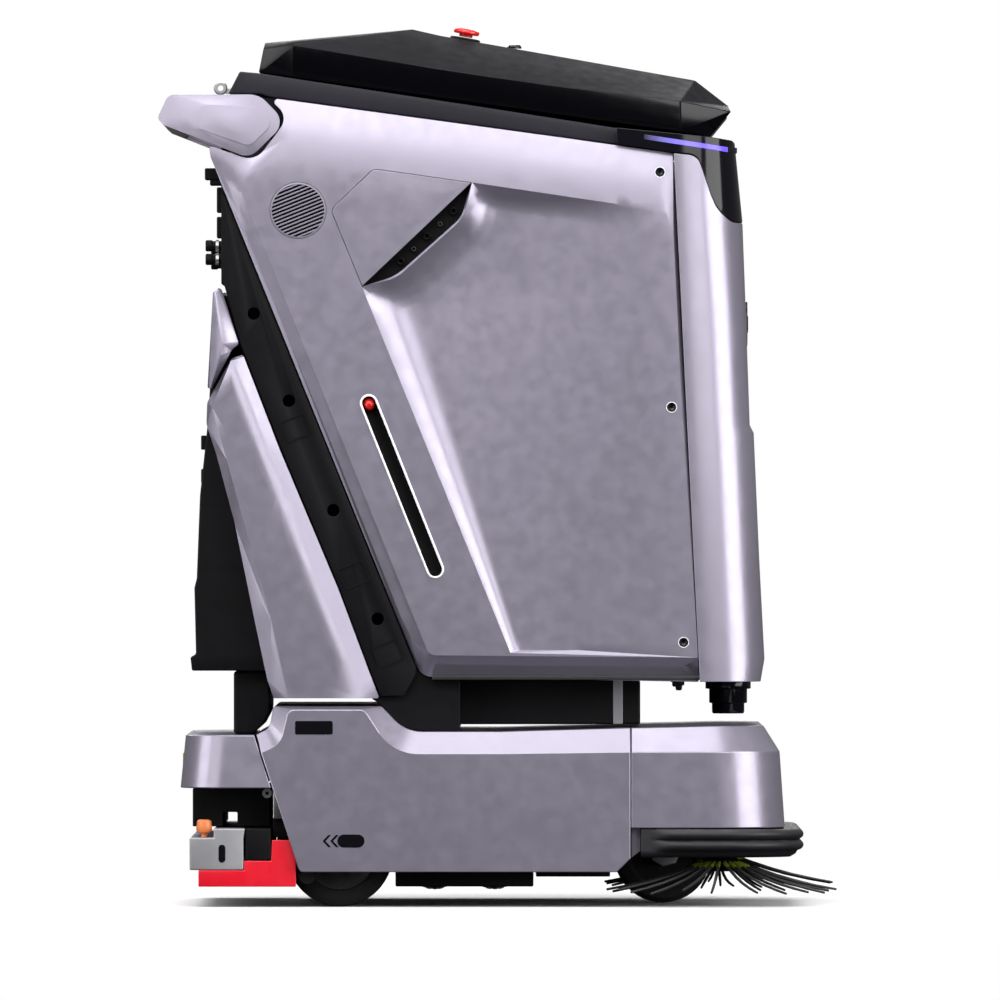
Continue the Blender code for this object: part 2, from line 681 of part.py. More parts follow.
def make_side_panel(side):
    """The big side cover: a thin skin with a shallow sculpted recess."""
    label = "right" if side == RIGHT else "left"
    floor = [point for point, _ in RECESS_FLOOR]
    points = list(PANEL_OUTLINE) + list(RECESS_EDGE) + floor
    depths = [0.0] * (len(PANEL_OUTLINE) + len(RECESS_EDGE)) + [depth for _, depth in RECESS_FLOOR]
    edges = []
    start = 0
    for loop in (PANEL_OUTLINE, RECESS_EDGE, floor):
        count = len(loop)
        edges += [(start + i, start + (i + 1) % count) for i in range(count)]
        start += count
    flat, _, triangles, sources, _, _ = delaunay_2d_cdt([Vector(p) for p in points], edges, [], 1, 1e-6)
    vertices = []
    for point, source in zip(flat, sources):
        vertices.append((point.x, side * (BODY_HALF_WIDTH - depths[source[0]]), point.y))
    panel = add_object("side_panel_" + label, vertices, [tuple(face) for face in triangles], "silver_paint")
    if sum(face.normal.y for face in panel.data.polygons) * side < 0:
        panel.data.flip_normals()
    solidify = panel.modifiers.new("thickness", "SOLIDIFY")
    solidify.thickness = PANEL_SKIN
    solidify.offset = -1
    low, high = -BODY_HALF_WIDTH - 0.010, -BODY_HALF_WIDTH + 0.030
    if side == RIGHT:
        hole = circle(SPEAKER_CENTER, SPEAKER_RADIUS + GAP)
        combine(panel, prism("speaker_hole_guide", hole, "Y", low, high, "steel"))
        slot = slot_outline(LEVEL_TOP, LEVEL_BOTTOM, LEVEL_HALF_WIDTH + GAP)
        combine(panel, prism("level_slot_guide", slot, "Y", low, high, "steel"))


def make_speaker_grille():
    low, high = -BODY_HALF_WIDTH + 0.0003, -BODY_HALF_WIDTH + 0.0030
    grille = prism("speaker_grille", circle(SPEAKER_CENTER, SPEAKER_RADIUS), "Y", low, high, "silver_paint")
    tilt = math.radians(22)
    pitch = 0.0046
    bars = 13
    slot_half_height = 0.0010
    vertices = []
    faces = []
    for bar in range(bars):
        across = (bar - (bars - 1) / 2) * pitch
        half_length = math.sqrt((SPEAKER_RADIUS - 0.004) ** 2 - across**2)
        corners = []
        for along, up in ((-1, -1), (1, -1), (1, 1), (-1, 1)):
            a = along * half_length
            b = across + up * slot_half_height
            x = SPEAKER_CENTER[0] + a * math.cos(tilt) - b * math.sin(tilt)
            z = SPEAKER_CENTER[1] + a * math.sin(tilt) + b * math.cos(tilt)
            corners.append((x, z))
        first = len(vertices)
        vertices += [(x, low - 0.002, z) for x, z in corners]
        vertices += [(x, high + 0.002, z) for x, z in corners]
        faces += [tuple(first + i for i in range(4)), tuple(first + 4 + i for i in range(4))]
        faces += [(first + i, first + (i + 1) % 4, first + 4 + (i + 1) % 4, first + 4 + i) for i in range(4)]
    slots = face_outwards(add_object("speaker_slots_guide", vertices, faces, "steel"))
    combine(grille, slots)


def make_level_gauge():
    """The tank's level gauge on the right side: an open channel with a ball float."""
    outer = -BODY_HALF_WIDTH
    back = -0.2720
    slot = slot_outline(LEVEL_TOP, LEVEL_BOTTOM, LEVEL_HALF_WIDTH)
    channel = prism("level_gauge", slot, "Y", outer - 0.0005, back, "black_plastic")
    slot = slot_outline(LEVEL_TOP, LEVEL_BOTTOM, FLOAT_RADIUS + 0.0008)
    inner = prism("level_channel_guide", slot, "Y", outer - 0.010, back - 0.0035, "steel")
    combine(channel, inner)
    profile = []
    half_turn = 12
    for step in range(half_turn + 1):
        angle = math.pi * step / half_turn
        profile.append((FLOAT_RADIUS * math.sin(angle), -FLOAT_RADIUS * math.cos(angle)))
    profile[0] = (0, -FLOAT_RADIUS)
    profile[-1] = (0, FLOAT_RADIUS)
    along = (Vector(LEVEL_BOTTOM) - Vector(LEVEL_TOP)).normalized()
    top = Vector(LEVEL_TOP) + along * 0.001
    turned("level_float", profile, "Z", (top.x, FLOAT_Y, top.y), "button_red", steps=24)


def make_spine_frame(side):
    label = "right" if side == RIGHT else "left"
    outline = (
        (-0.3470, 0.7850), (-0.3490, 0.8900), (-0.3440, 0.8905), (-0.1052, 0.3000), (-0.1060, 0.2900),
        (-0.1200, 0.2640), (-0.1490, 0.2640), (-0.1590, 0.2870), (-0.2003, 0.3980), (-0.2738, 0.5735),
        (-0.3198, 0.6915), (-0.3248, 0.7045),
    )
    low, high = sorted(side * face for face in SPINE_FACES)
    frame = prism("spine_frame_" + label, outline, "Y", low, high, "black_plastic")
    vertices = []
    faces = []
    for center in SPINE_HOLES:
        ring = circle(center, SPINE_HOLE_RADIUS, steps=20)
        first = len(vertices)
        count = len(ring)
        vertices += [(x, low - 0.01, z) for x, z in ring] + [(x, high + 0.01, z) for x, z in ring]
        faces += [tuple(first + i for i in range(count)), tuple(first + count + i for i in range(count))]
        for i in range(count):
            j = (i + 1) % count
            faces.append((first + i, first + j, first + count + j, first + count + i))
    combine(frame, face_outwards(add_object("spine_holes_guide_" + label, vertices, faces, "steel")))


def hollow_cover(name, outline, side, finish):
    """A side cover with a rim, open towards the middle of the machine."""
    inner, outer = COVER_FACES
    cover = prism(name, outline, "Y", *sorted((side * inner, side * outer)), finish)
    hollow_faces = sorted((side * (inner - 0.010), side * (outer - WALL)))
    combine(cover, prism(name + "_guide", inset(outline, WALL), "Y", *hollow_faces, finish))


def make_rear_covers(side):
    label = "right" if side == RIGHT else "left"
    upper = ((-0.3590, 0.7690), (-0.3500, 0.7770), (-0.3268, 0.7045), (-0.3360, 0.6975), (-0.3665, 0.6375))
    hollow_cover("rear_cover_upper_" + label, upper, side, "silver_paint")
    lower = (
        (-0.3220, 0.6905), (-0.3355, 0.6860), (-0.3660, 0.6310), (-0.3670, 0.6050), (-0.3550, 0.5670),
        (-0.3320, 0.4810), (-0.3070, 0.3590), (-0.2910, 0.2840), (-0.2830, 0.2610), (-0.1510, 0.2610),
        (-0.1610, 0.2870), (-0.2025, 0.3980), (-0.2760, 0.5730),
    )
    hollow_cover("rear_cover_lower_" + label, lower, side, "silver_paint")


def make_recovery_tank():
    outline = (
        (-0.3860, 0.2950), (-0.3880, 0.3120), (-0.3810, 0.3160), (-0.3830, 0.3990), (-0.3800, 0.4110),
        (-0.3760, 0.5140), (-0.3665, 0.6030), (-0.3560, 0.7650), (-0.3080, 0.7650), (-0.1280, 0.3200),
        (-0.1280, 0.2950),
    )
    half = RECOVERY_HALF_WIDTH
    inner = half - TANK_WALL
    tank = prism("recovery_tank", outline, "Y", -half, half, "black_plastic")
    combine(tank, prism("recovery_hollow_guide", inset(outline, TANK_WALL), "Y", -inner, inner, "steel"))
    combine(tank, box("recovery_mouth_guide", (-0.345, -0.045, 0.740), (-0.318, 0.045, 0.780), "steel"))
    back = ((-0.3490, 0.7790), (-0.3450, 0.7790), (-0.3450, 1.0160), (-0.3490, 1.0160))
    prism("rear_panel", back, "Y", -0.260, 0.260, "black_plastic")


def make_clean_water_tank():
    half = CLEAN_HALF_WIDTH
    outline = (
        (-0.2400, 0.9900), (0.1000, 0.9420), (0.2000, 0.9250), (0.2080, 0.4300), (-0.1050, 0.4300),
        (-0.2400, 0.7600),
    )
    tank = prism("clean_water_tank", outline, "Y", -half, half, "tank_plastic")
    inner = inset(outline, TANK_WALL)
    inner[0] = (inner[0][0], 1.060)
    inner[1] = (inner[1][0], 1.060)
    inner.insert(2, (inner[1][0], 0.937))
    combine(tank, prism("clean_hollow_guide", inner, "Y", -half + TANK_WALL, half - TANK_WALL, "steel"))


def make_body_contents():
    corner = 0.048
    plan = (
        (-0.085, -0.286), (0.270, -0.286), (0.318, -0.286 + corner), (0.318, 0.286 - corner), (0.270, 0.286),
        (-0.085, 0.286),
    )
    prism("body_tray", plan, "Z", 0.2840, 0.2895, "steel")
    box("battery_pack", (-0.060, -0.190, 0.2900), (0.200, 0.190, 0.4100), "hub_plastic")


def front_edge_x(z):
    """The front cover's nose at a height."""
    return height_at(FRONT_EDGE, z)


def make_front_panel():
    rows = []
    for z in (0.2816, 0.3100, 0.4340, 0.5940, 0.6020, 0.7340):
        start = slanted((PANEL_BOTTOM_FRONT, PANEL_TOP_FRONT), z) + SEAM
        side_xs = (SIDE_STEP_X + 0.020,)
        path = wrap_path(start, front_edge_x(z), BODY_HALF_WIDTH, FRONT_CORNER_RADIUS, side_xs)
        rows.append([(x, y, z) for x, y in path])
    start = PANEL_TOP_FRONT[0] + SEAM
    nose_x = front_edge_x(SWOOP[-1][1])
    path = wrap_path(start, nose_x, BODY_HALF_WIDTH, FRONT_CORNER_RADIUS, side_xs=(SIDE_STEP_X,))
    rows.append([(x, y, height_at(SWOOP, x)) for x, y in path])
    skin("front_panel", rows, "silver_paint")


def make_sensor_window():
    seam = ((WINDOW_REAR_X, 0.9535), *SWOOP)
    top = ((WINDOW_REAR_X, 0.9746), (0.2640, 0.9630), (0.2910, 0.9590), (0.2940, 0.9560))
    rows = []
    side_xs = (PANEL_TOP_FRONT[0] + SEAM, SIDE_STEP_X)
    for nose, edge, lift in ((0.3040, seam, WINDOW_SEAM), (0.2940, top, 0.0)):
        path = wrap_path(WINDOW_REAR_X + SEAM, nose, BODY_HALF_WIDTH, FRONT_CORNER_RADIUS, side_xs)
        rows.append([(x, y, height_at(edge, x) + lift) for x, y in path])
    skin("sensor_window", rows, "gloss_black", thickness=0.003)
    # The light strip follows the window's face, a little outside it, and falls towards the nose.
    rows = []
    for lift, nose in ((-0.003, 0.2962), (0.003, 0.2956)):
        path = offset_path(wrap_path(0.180, nose, BODY_HALF_WIDTH, FRONT_CORNER_RADIUS), 0.0016)
        strip = ((0.180, 0.963), (0.284, 0.9475))
        rows.append([(x, y, height_at(strip, x) + lift) for x, y in path])
    skin("led_strip", rows, "led_lens", thickness=0.0010)


def make_top_frame():
    outline = (
        (-0.3396, 1.0175), (-0.3255, 1.0450), (-0.3030, 1.0430), (-0.0250, 1.0010), (0.1440, 0.9745),
        (0.2560, 0.9615), (0.2850, 0.9575), (0.2850, 0.9450), (0.1360, 0.9550), (0.0750, 0.9635),
        (-0.2880, 1.0131), (-0.3000, 1.0172),
    )
    half = TOP_FRAME_HALF_WIDTH
    frame = prism("top_frame", outline, "Y", -half, half, "dark_frame")
    corner = 0.060
    right = [(-0.500, -half - 0.02), (0.225, -half - 0.02), (0.225, -half)]
    right += [(0.285, -half + corner), (0.400, -half + corner)]
    plan = right + [(x, -y) for x, y in reversed(right)]
    combine(frame, prism("top_frame_plan_guide", plan, "Z", 0.900, 1.100, "steel"), "INTERSECT")
    combine(frame, box("top_frame_mouth_guide", (-0.234, -0.225, 0.900), (0.094, 0.225, 1.100), "steel"))


def make_push_handle():
    half = HANDLE_HALF_WIDTH
    handle = prism("push_handle", HANDLE_OUTLINE, "Y", -half, half, "silver_paint")
    inner = half - HANDLE_ARM
    rear = HANDLE_OUTLINE[1][0] + HANDLE_BAR_DEPTH
    combine(handle, box("hand_gap_guide", (rear, -inner, 0.900), (-0.200, inner, 1.100), "steel"))


# The lid.


def make_lid():
    rows = []
    for rim, ridge, plateau, rim_half, ridge_half, plateau_half in LID_SECTIONS:
        right = [(rim[0], -rim_half, rim[1]), (ridge[0], -ridge_half, ridge[1])]
        right.append((plateau[0], -plateau_half, plateau[1]))
        rows.append(right + [(x, -y, z) for x, y, z in reversed(right)])
    lid = skin("lid_cover", rows, "lid_plastic", close_ends=(True, True))
    set_origin(lid, (LID_HINGE[0], 0, LID_HINGE[1]))
    rear, apex = LID_SECTIONS[0][2], LID_SECTIONS[2][2]
    slope = math.atan2(apex[1] - rear[1], apex[0] - rear[0])
    surface_z = line_at(rear, apex, SCREEN_CENTER_X)
    length, width = SCREEN_SIZE
    margin = 0.0006
    opening = box(
        "screen_opening_guide", (-length / 2 - margin, -width / 2 - margin, -0.02),
        (length / 2 + margin, width / 2 + margin, 0.02), "steel",
    )
    low, high = (-length / 2, -width / 2, -0.0080), (length / 2, width / 2, -0.0002)
    screen = box("touchscreen", low, high, "gloss_black")
    for piece in (opening, screen):
        piece.location = (SCREEN_CENTER_X, 0, surface_z)
        piece.rotation_euler = (0, -slope, 0)
    combine(lid, opening)


def make_estop():
    start, end = LID_SECTIONS[3][2], LID_SECTIONS[5][2]
    slope = math.atan2(end[1] - start[1], end[0] - start[0])
    place = (ESTOP_X, ESTOP_Y, line_at(start, end, ESTOP_X))
    base = ((0.0105, 0.0005), (0.0190, 0.0005), (0.0190, 0.0025), (0.0175, 0.0034), (0.0105, 0.0034))
    ring = turned("estop_base", base, "Z", place, "black_plastic", steps=32, ring=True)
    head = (
        (0, 0.0046), (0.0085, 0.0046), (0.0085, 0.0080), (0.0150, 0.0080), (0.0165, 0.0100), (0.0160, 0.0130),
        (0.0120, 0.0150), (0, 0.0155),
    )
    button = turned("estop_button", head, "Z", place, "button_red", steps=32)
    for piece in (ring, button):
        piece.rotation_euler = (0, -slope, 0)


def main():
    clear_scene()
    make_chassis()
    make_base_shell()
    make_front_shell()
    make_rear_shell()
    make_caster()
    make_scrub_deck()
    make_debris_bin()
    make_squeegee()
    make_bumper()
    make_base_contents()
    make_lidar()
    make_level_gauge()
    make_speaker_grille()
    for side in (RIGHT, LEFT):
        make_drive_wheel(side)
        make_side_brush(side)
        make_side_panel(side)
        make_spine_frame(side)
        make_rear_covers(side)
    make_recovery_tank()
    make_clean_water_tank()
    make_body_contents()
    make_front_panel()
    make_sensor_window()
    make_top_frame()
    make_push_handle()
    make_lid()
    make_estop()


main()
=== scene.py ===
"""The looks of the robotic floor scrubber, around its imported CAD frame.

Metres. +X is the machine's front, +Y its left side and +Z up. Side profiles are lists of (x, z) and plan
profiles are lists of (x, y). Right-hand pieces are at negative Y, which is the side that the camera sees.
"""

import json
import math
import random

import bmesh
import bpy
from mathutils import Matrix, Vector
from mathutils.geometry import delaunay_2d_cdt


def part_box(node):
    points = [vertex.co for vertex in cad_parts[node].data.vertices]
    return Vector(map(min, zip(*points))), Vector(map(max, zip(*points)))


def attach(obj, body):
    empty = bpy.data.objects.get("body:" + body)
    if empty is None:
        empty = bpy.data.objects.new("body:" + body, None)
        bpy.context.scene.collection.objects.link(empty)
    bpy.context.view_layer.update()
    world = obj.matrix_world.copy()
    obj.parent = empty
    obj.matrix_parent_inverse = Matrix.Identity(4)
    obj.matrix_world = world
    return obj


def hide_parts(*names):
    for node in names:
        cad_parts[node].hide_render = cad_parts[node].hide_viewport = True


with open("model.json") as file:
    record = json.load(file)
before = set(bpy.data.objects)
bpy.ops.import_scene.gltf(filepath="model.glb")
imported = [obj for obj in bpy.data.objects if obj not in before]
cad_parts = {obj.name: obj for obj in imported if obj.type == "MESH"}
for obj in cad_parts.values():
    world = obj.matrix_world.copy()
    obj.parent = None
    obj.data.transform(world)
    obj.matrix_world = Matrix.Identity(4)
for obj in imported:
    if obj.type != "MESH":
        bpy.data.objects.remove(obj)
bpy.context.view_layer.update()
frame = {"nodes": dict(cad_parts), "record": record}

RIGHT = -1
LEFT = 1
SIDES = ((RIGHT, "right"), (LEFT, "left"))
ROUND_STEPS = 48
BEVEL_SEGMENTS = 3
DOWN_FROM_VERTICAL = math.radians(21.8)
DUST_COLOR = (0.42, 0.41, 0.39, 1.0)

# The camera looks straight at the right side from far away.
CAMERA_LENS = 700.0
CAMERA_SENSOR = 36.0
CAMERA_WIDTH_SEEN = 1.25
CAMERA_HEIGHT = 0.509
FLOOR_FADE = (0.9, 2.2)
FLOOR_HALF = 12.0
LIGHT_STRIP_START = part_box("led_strip")[0].x
LIGHT_STRIP_END = 0.284

# Finish: record slot, colour, roughness, metallic and clear coat. Gloss is how much it reflects, 0.5 if not
# given. Then come how strong its details are: mottling, grain (scale, and depth in mm), scuffs and dust.
FINISHES = {
    "paint": dict(slot="silver_paint", color=(0.285, 0.262, 0.330), rough=0.33, metal=0.62, coat=0.35,
                  tint=0.016, grain=(90.0, 0.008), scuff=0.03, dust=0.015),
    # The lid's top and walls are one plastic: the walls are glossier, and painted darker than the top as
    # shade.
    "lid_top": dict(gloss=0.08, slot="lid_plastic", color=(0.008, 0.008, 0.010), rough=0.56, coat=0.0,
                    tint=0.10, grain=(420.0, 0.018), scuff=0.08, dust=0.008),
    "lid_wall": dict(gloss=0.20, slot="lid_plastic", color=(0.002, 0.002, 0.003), rough=0.20, coat=0.12,
                     tint=0.05, grain=(420.0, 0.004), scuff=0.08, dust=0.02),
    "dark_frame": dict(gloss=0.14, slot="dark_frame", color=(0.017, 0.016, 0.021), rough=0.42,
                       tint=0.10, grain=(420.0, 0.024), scuff=0.10, dust=0.015),
    "black": dict(gloss=0.10, slot="black_plastic", color=(0.0055, 0.0055, 0.0065), rough=0.46,
                  tint=0.18, grain=(420.0, 0.030), scuff=0.15, dust=0.05),
    "bumper": dict(gloss=0.35, slot="black_plastic", color=(0.014, 0.014, 0.017), rough=0.50,
                   tint=0.15, grain=(420.0, 0.036), scuff=0.30, dust=0.08),
    "gloss_black": dict(gloss=0.25, slot="gloss_black", color=(0.0025, 0.0025, 0.0045), rough=0.12, coat=0.15,
                        tint=0.05, grain=(40.0, 0.002), scuff=0.04, dust=0.02),
    "steel": dict(slot="steel", color=(0.50, 0.50, 0.51), rough=0.34, metal=1.0,
                  tint=0.12, grain=(500.0, 0.020), scuff=0.25, dust=0.05, brushed=True),
    "dark_steel": dict(slot="steel", color=(0.030, 0.030, 0.032), rough=0.45, metal=0.3,
                       tint=0.12, grain=(420.0, 0.020), scuff=0.15, dust=0.05),
    "tank": dict(slot="tank_plastic", color=(0.60, 0.63, 0.66), rough=0.42,
                 tint=0.06, grain=(260.0, 0.050), scuff=0.10, dust=0.02),
    "battery": dict(gloss=0.25, slot="battery_case", color=(0.025, 0.025, 0.028), rough=0.50,
                    tint=0.12, grain=(420.0, 0.024), scuff=0.10, dust=0.10),
    "tyre": dict(gloss=0.25, slot="tyre_rubber", color=(0.012, 0.012, 0.012), rough=0.72,
                 tint=0.30, grain=(420.0, 0.072), scuff=0.35, dust=0.15),
    "hub": dict(gloss=0.30, slot="hub_plastic", color=(0.050, 0.050, 0.054), rough=0.46,
                tint=0.15, grain=(420.0, 0.024), scuff=0.20, dust=0.10),
    "bristle": dict(gloss=0.30, slot="side_bristle", color=(0.020, 0.020, 0.021), rough=0.42,
                    tint=0.40, grain=(600.0, 0.050), scuff=0.20, dust=0.10),
    "bristle_root": dict(slot="side_bristle", color=(0.30, 0.34, 0.02), rough=0.45,
                         tint=0.25, grain=(600.0, 0.050), scuff=0.15, dust=0.10),
    "roller_bristle": dict(slot="roller_bristle", color=(0.060, 0.070, 0.090), rough=0.55,
                           tint=0.35, grain=(600.0, 0.080), scuff=0.20, dust=0.10),
    "blade": dict(slot="blade_red", color=(0.740, 0.004, 0.020), rough=0.36, coat=0.10,
                  tint=0.12, grain=(500.0, 0.040), scuff=0.15, dust=0.02),
    "bracket": dict(slot="bracket_grey", color=(0.34, 0.335, 0.355), rough=0.38, metal=0.30,
                    tint=0.10, grain=(420.0, 0.030), scuff=0.20, dust=0.06),
    "orange": dict(slot="knob_orange", color=(0.76, 0.215, 0.065), rough=0.34,
                   tint=0.10, grain=(420.0, 0.024), scuff=0.15, dust=0.04),
    "red_plastic": dict(slot="button_red", color=(0.620, 0.010, 0.008), rough=0.24, coat=0.30,
                        tint=0.08, grain=(600.0, 0.020), scuff=0.06, dust=0.01),
    "brass": dict(slot="contact_brass", color=(0.700, 0.450, 0.150), rough=0.28, metal=1.0,
                  tint=0.12, grain=(500.0, 0.030), scuff=0.25, dust=0.02, brushed=True),
    # The same silver paint made near white: a painted highlight for the thin rims round holes.
    "painted_highlight_rim": dict(slot="silver_paint", color=(0.86, 0.85, 0.89), rough=0.22, metal=0.10, coat=0.5,
                       tint=0.04, grain=(420.0, 0.006), scuff=0.05, dust=0.0),
}


# Materials.


def add_node(tree, kind, inputs=None, **settings):
    """Adds a shader node. An input is a value, or a socket to link from."""
    node = tree.nodes.new("ShaderNode" + kind)
    for key, value in settings.items():
        setattr(node, key, value)
    for key, value in (inputs or {}).items():
        if isinstance(value, bpy.types.NodeSocket):
            tree.links.new(value, node.inputs[key])
        else:
            node.inputs[key].default_value = value
    return node


def noise(tree, where, scale, detail=2.0, roughness=0.5):
    inputs = {"Vector": where, "Scale": scale, "Detail": detail, "Roughness": roughness}
    return add_node(tree, "TexNoise", inputs).outputs["Fac"]


def remap(tree, value, low, high, to_low=0.0, to_high=1.0):
    inputs = {"Value": value, "From Min": low, "From Max": high, "To Min": to_low, "To Max": to_high}
    return add_node(tree, "MapRange", inputs).outputs["Result"]


def math_node(tree, operation, first, second):
    node = add_node(tree, "Math", {0: first, 1: second}, operation=operation)
    return node.outputs[0]


def mix_colors(tree, share, first, second):
    node = add_node(tree, "Mix", {0: share, 6: first, 7: second}, data_type="RGBA")
    return node.outputs[2]


def scaled(color, factor):
    return (color[0] * factor, color[1] * factor, color[2] * factor, 1.0)


def stretched(tree, where, stretch):
    inputs = {"Vector": where, "Scale": stretch}
    return add_node(tree, "Mapping", inputs).outputs["Vector"]


def new_material(name):
    """A material with its tree, its shader, and where a point is on its object."""
    material = bpy.data.materials.new(name)
    material.use_nodes = True
    tree = material.node_tree
    where = add_node(tree, "TexCoord").outputs["Object"]
    return material, tree, tree.nodes["Principled BSDF"], where


def make_finish(name):
    """A procedural finish: mottled colour, wear in the gloss, dust that settles on top, and a fine grain."""
    look = FINISHES[name]
    material, tree, shader, where = new_material(name)
    color = look["color"]
    tint = look["tint"]
    broad = noise(tree, where, 7.0, 4.0, 0.6)
    shade = remap(tree, broad, 0.3, 0.7)
    painted = mix_colors(tree, shade, scaled(color, 1.0 - tint), scaled(color, 1.0 + tint))
    streaks = noise(tree, stretched(tree, where, (26.0, 26.0, 5.0)), 1.0, 3.0, 0.6)
    worn = remap(tree, streaks, 0.56, 0.80, 0.0, look["scuff"])
    painted = mix_colors(tree, worn, painted, scaled(color, 1.6))
    if look["dust"]:
        normal = add_node(tree, "NewGeometry").outputs["Normal"]
        up = add_node(tree, "SeparateXYZ", {0: normal}).outputs["Z"]
        settled = remap(tree, up, 0.55, 1.0, 0.0, look["dust"])
        patchy = remap(tree, noise(tree, where, 35.0, 4.0, 0.6), 0.35, 0.65)
        painted = mix_colors(tree, math_node(tree, "MULTIPLY", settled, patchy), painted, DUST_COLOR)
    tree.links.new(painted, shader.inputs["Base Color"])
    fine = noise(tree, where, 60.0, 2.0, 0.5)
    rough = remap(tree, fine, 0.3, 0.7, look["rough"] * 0.88, look["rough"] * 1.12)
    rough = math_node(tree, "ADD", rough, math_node(tree, "MULTIPLY", worn, 0.5))
    tree.links.new(rough, shader.inputs["Roughness"])
    shader.inputs["Metallic"].default_value = look.get("metal", 0.0)
    shader.inputs["Coat Weight"].default_value = look.get("coat", 0.0)
    shader.inputs["Coat Roughness"].default_value = 0.12
    shader.inputs["Specular IOR Level"].default_value = look.get("gloss", 0.5)
    scale, depth = look["grain"]
    if look.get("brushed"):
        grain = noise(tree, stretched(tree, where, (scale, scale * 0.03, scale)), 1.0, 3.0, 0.6)
    else:
        grain = noise(tree, where, scale, 2.0, 0.6)
    bump = add_node(tree, "Bump", {"Height": grain, "Strength": 1.0, "Distance": depth * 0.001})
    tree.links.new(bump.outputs["Normal"], shader.inputs["Normal"])
    return material


def make_light_strip_finish():
    """Blue-violet light behind a diffuser, fading out towards the machine's rear."""
    material, tree, shader, where = new_material("light_strip")
    along = add_node(tree, "SeparateXYZ", {0: where}).outputs["X"]
    glow = remap(tree, along, LIGHT_STRIP_START, LIGHT_STRIP_END - 0.030, 0.02, 1.0)
    lit = remap(tree, along, LIGHT_STRIP_END, LIGHT_STRIP_END + 0.001, 1.0, 0.0)
    glow = math_node(tree, "MULTIPLY", glow, lit)
    cells = remap(tree, noise(tree, where, 160.0, 1.0), 0.3, 0.7, 0.9, 1.1)
    strength = math_node(tree, "MULTIPLY", math_node(tree, "MULTIPLY", glow, cells), 1.5)
    tree.links.new(strength, shader.inputs["Emission Strength"])
    tint = mix_colors(tree, glow, (0.55, 0.52, 0.90, 1.0), (0.10, 0.06, 1.0, 1.0))
    tree.links.new(tint, shader.inputs["Emission Color"])
    diffuser = mix_colors(tree, glow, (0.004, 0.004, 0.008, 1.0), (0.06, 0.04, 0.5, 1.0))
    tree.links.new(diffuser, shader.inputs["Base Color"])
    shader.inputs["Roughness"].default_value = 0.25
    return material


MATERIALS = {name: make_finish(name) for name in FINISHES}
MATERIALS["light_strip"] = make_light_strip_finish()
SLOTS = {name: look["slot"] for name, look in FINISHES.items()}
SLOTS["light_strip"] = "led_lens"
BODIES = frame["record"]["behaviour"]["bodies"]
BODY_OF_NODE = {node: body for body, nodes in BODIES.items() for node in nodes}


# Making pieces.


def new_mesh(name, vertices, faces, closed=True):
    mesh = bpy.data.meshes.new(name)
    mesh.from_pydata([tuple(vertex) for vertex in vertices], [], faces)
    if closed:
        shape = bmesh.new()
        shape.from_mesh(mesh)
        bmesh.ops.recalc_face_normals(shape, faces=shape.faces)
        shape.to_mesh(mesh)
        shape.free()
    return mesh


def round_edges(obj, width, angle):
    edges = obj.modifiers.new("edges", "BEVEL")
    edges.width = width
    edges.segments = BEVEL_SEGMENTS
    edges.limit_method = "ANGLE"
    edges.angle_limit = math.radians(angle)
    edges.harden_normals = True


def add_piece(name, mesh, finish, body="machine", replaces=(), bevel=0.0, angle=30.0, crease=None):
    """Adds a piece of the machine. Edges sharper than the angle are rounded by the bevel, if it has one.
    Edges sharper than the crease stay sharp."""
    obj = bpy.data.objects.new(name, mesh)
    bpy.context.scene.collection.objects.link(obj)
    mesh.materials.append(MATERIALS[finish])
    mesh.shade_smooth()
    if bevel:
        round_edges(obj, bevel, angle)
    if crease or not bevel:
        mesh.set_sharp_from_angle(angle=math.radians(crease or angle))
    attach(obj, body)
    if replaces:
        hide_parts(*replaces)
    return obj


def refine(node, finish, bevel, angle=25.0):
    """A CAD node's own shape as a clean mesh with rounded edges, which stands for the node."""
    shape = bmesh.new()
    shape.from_mesh(frame["nodes"][node].data)
    bmesh.ops.remove_doubles(shape, verts=shape.verts, dist=2e-5)
    bmesh.ops.dissolve_limit(shape, angle_limit=math.radians(1.0), verts=shape.verts, edges=shape.edges)
    for face in shape.faces:
        face.material_index = 0
    mesh = bpy.data.meshes.new(node + "_cover")
    shape.to_mesh(mesh)
    shape.free()
    return add_piece(node + "_cover", mesh, finish, BODY_OF_NODE[node], (node,), bevel, angle)


def placed(axis, a, b, along):
    return {"X": (along, a, b), "Y": (a, along, b), "Z": (a, b, along)}[axis]


def prism(name, outline, axis, low, high, finish, **more):
    """A closed outline extruded from low to high. It is (x, z) for Y, (x, y) for Z and (y, z) for X."""
    count = len(outline)
    vertices = [placed(axis, a, b, low) for a, b in outline]
    vertices += [placed(axis, a, b, high) for a, b in outline]
    faces = [tuple(range(count)), tuple(range(count, 2 * count))]
    for i in range(count):
        j = (i + 1) % count
        faces.append((i, j, count + j, count + i))
    return add_piece(name, new_mesh(name, vertices, faces), finish, **more)


def block(name, low, high, finish, **more):
    outline = ((low[0], low[1]), (high[0], low[1]), (high[0], high[1]), (low[0], high[1]))
    return prism(name, outline, "Z", low[2], high[2], finish, **more)


def ring_faces(rings, count):
    """The faces between rings of points that follow each other."""
    faces = []
    for ring in range(rings - 1):
        for i in range(count):
            j, start = (i + 1) % count, ring * count
            faces.append((start + i, start + j, start + count + j, start + count + i))
    return faces


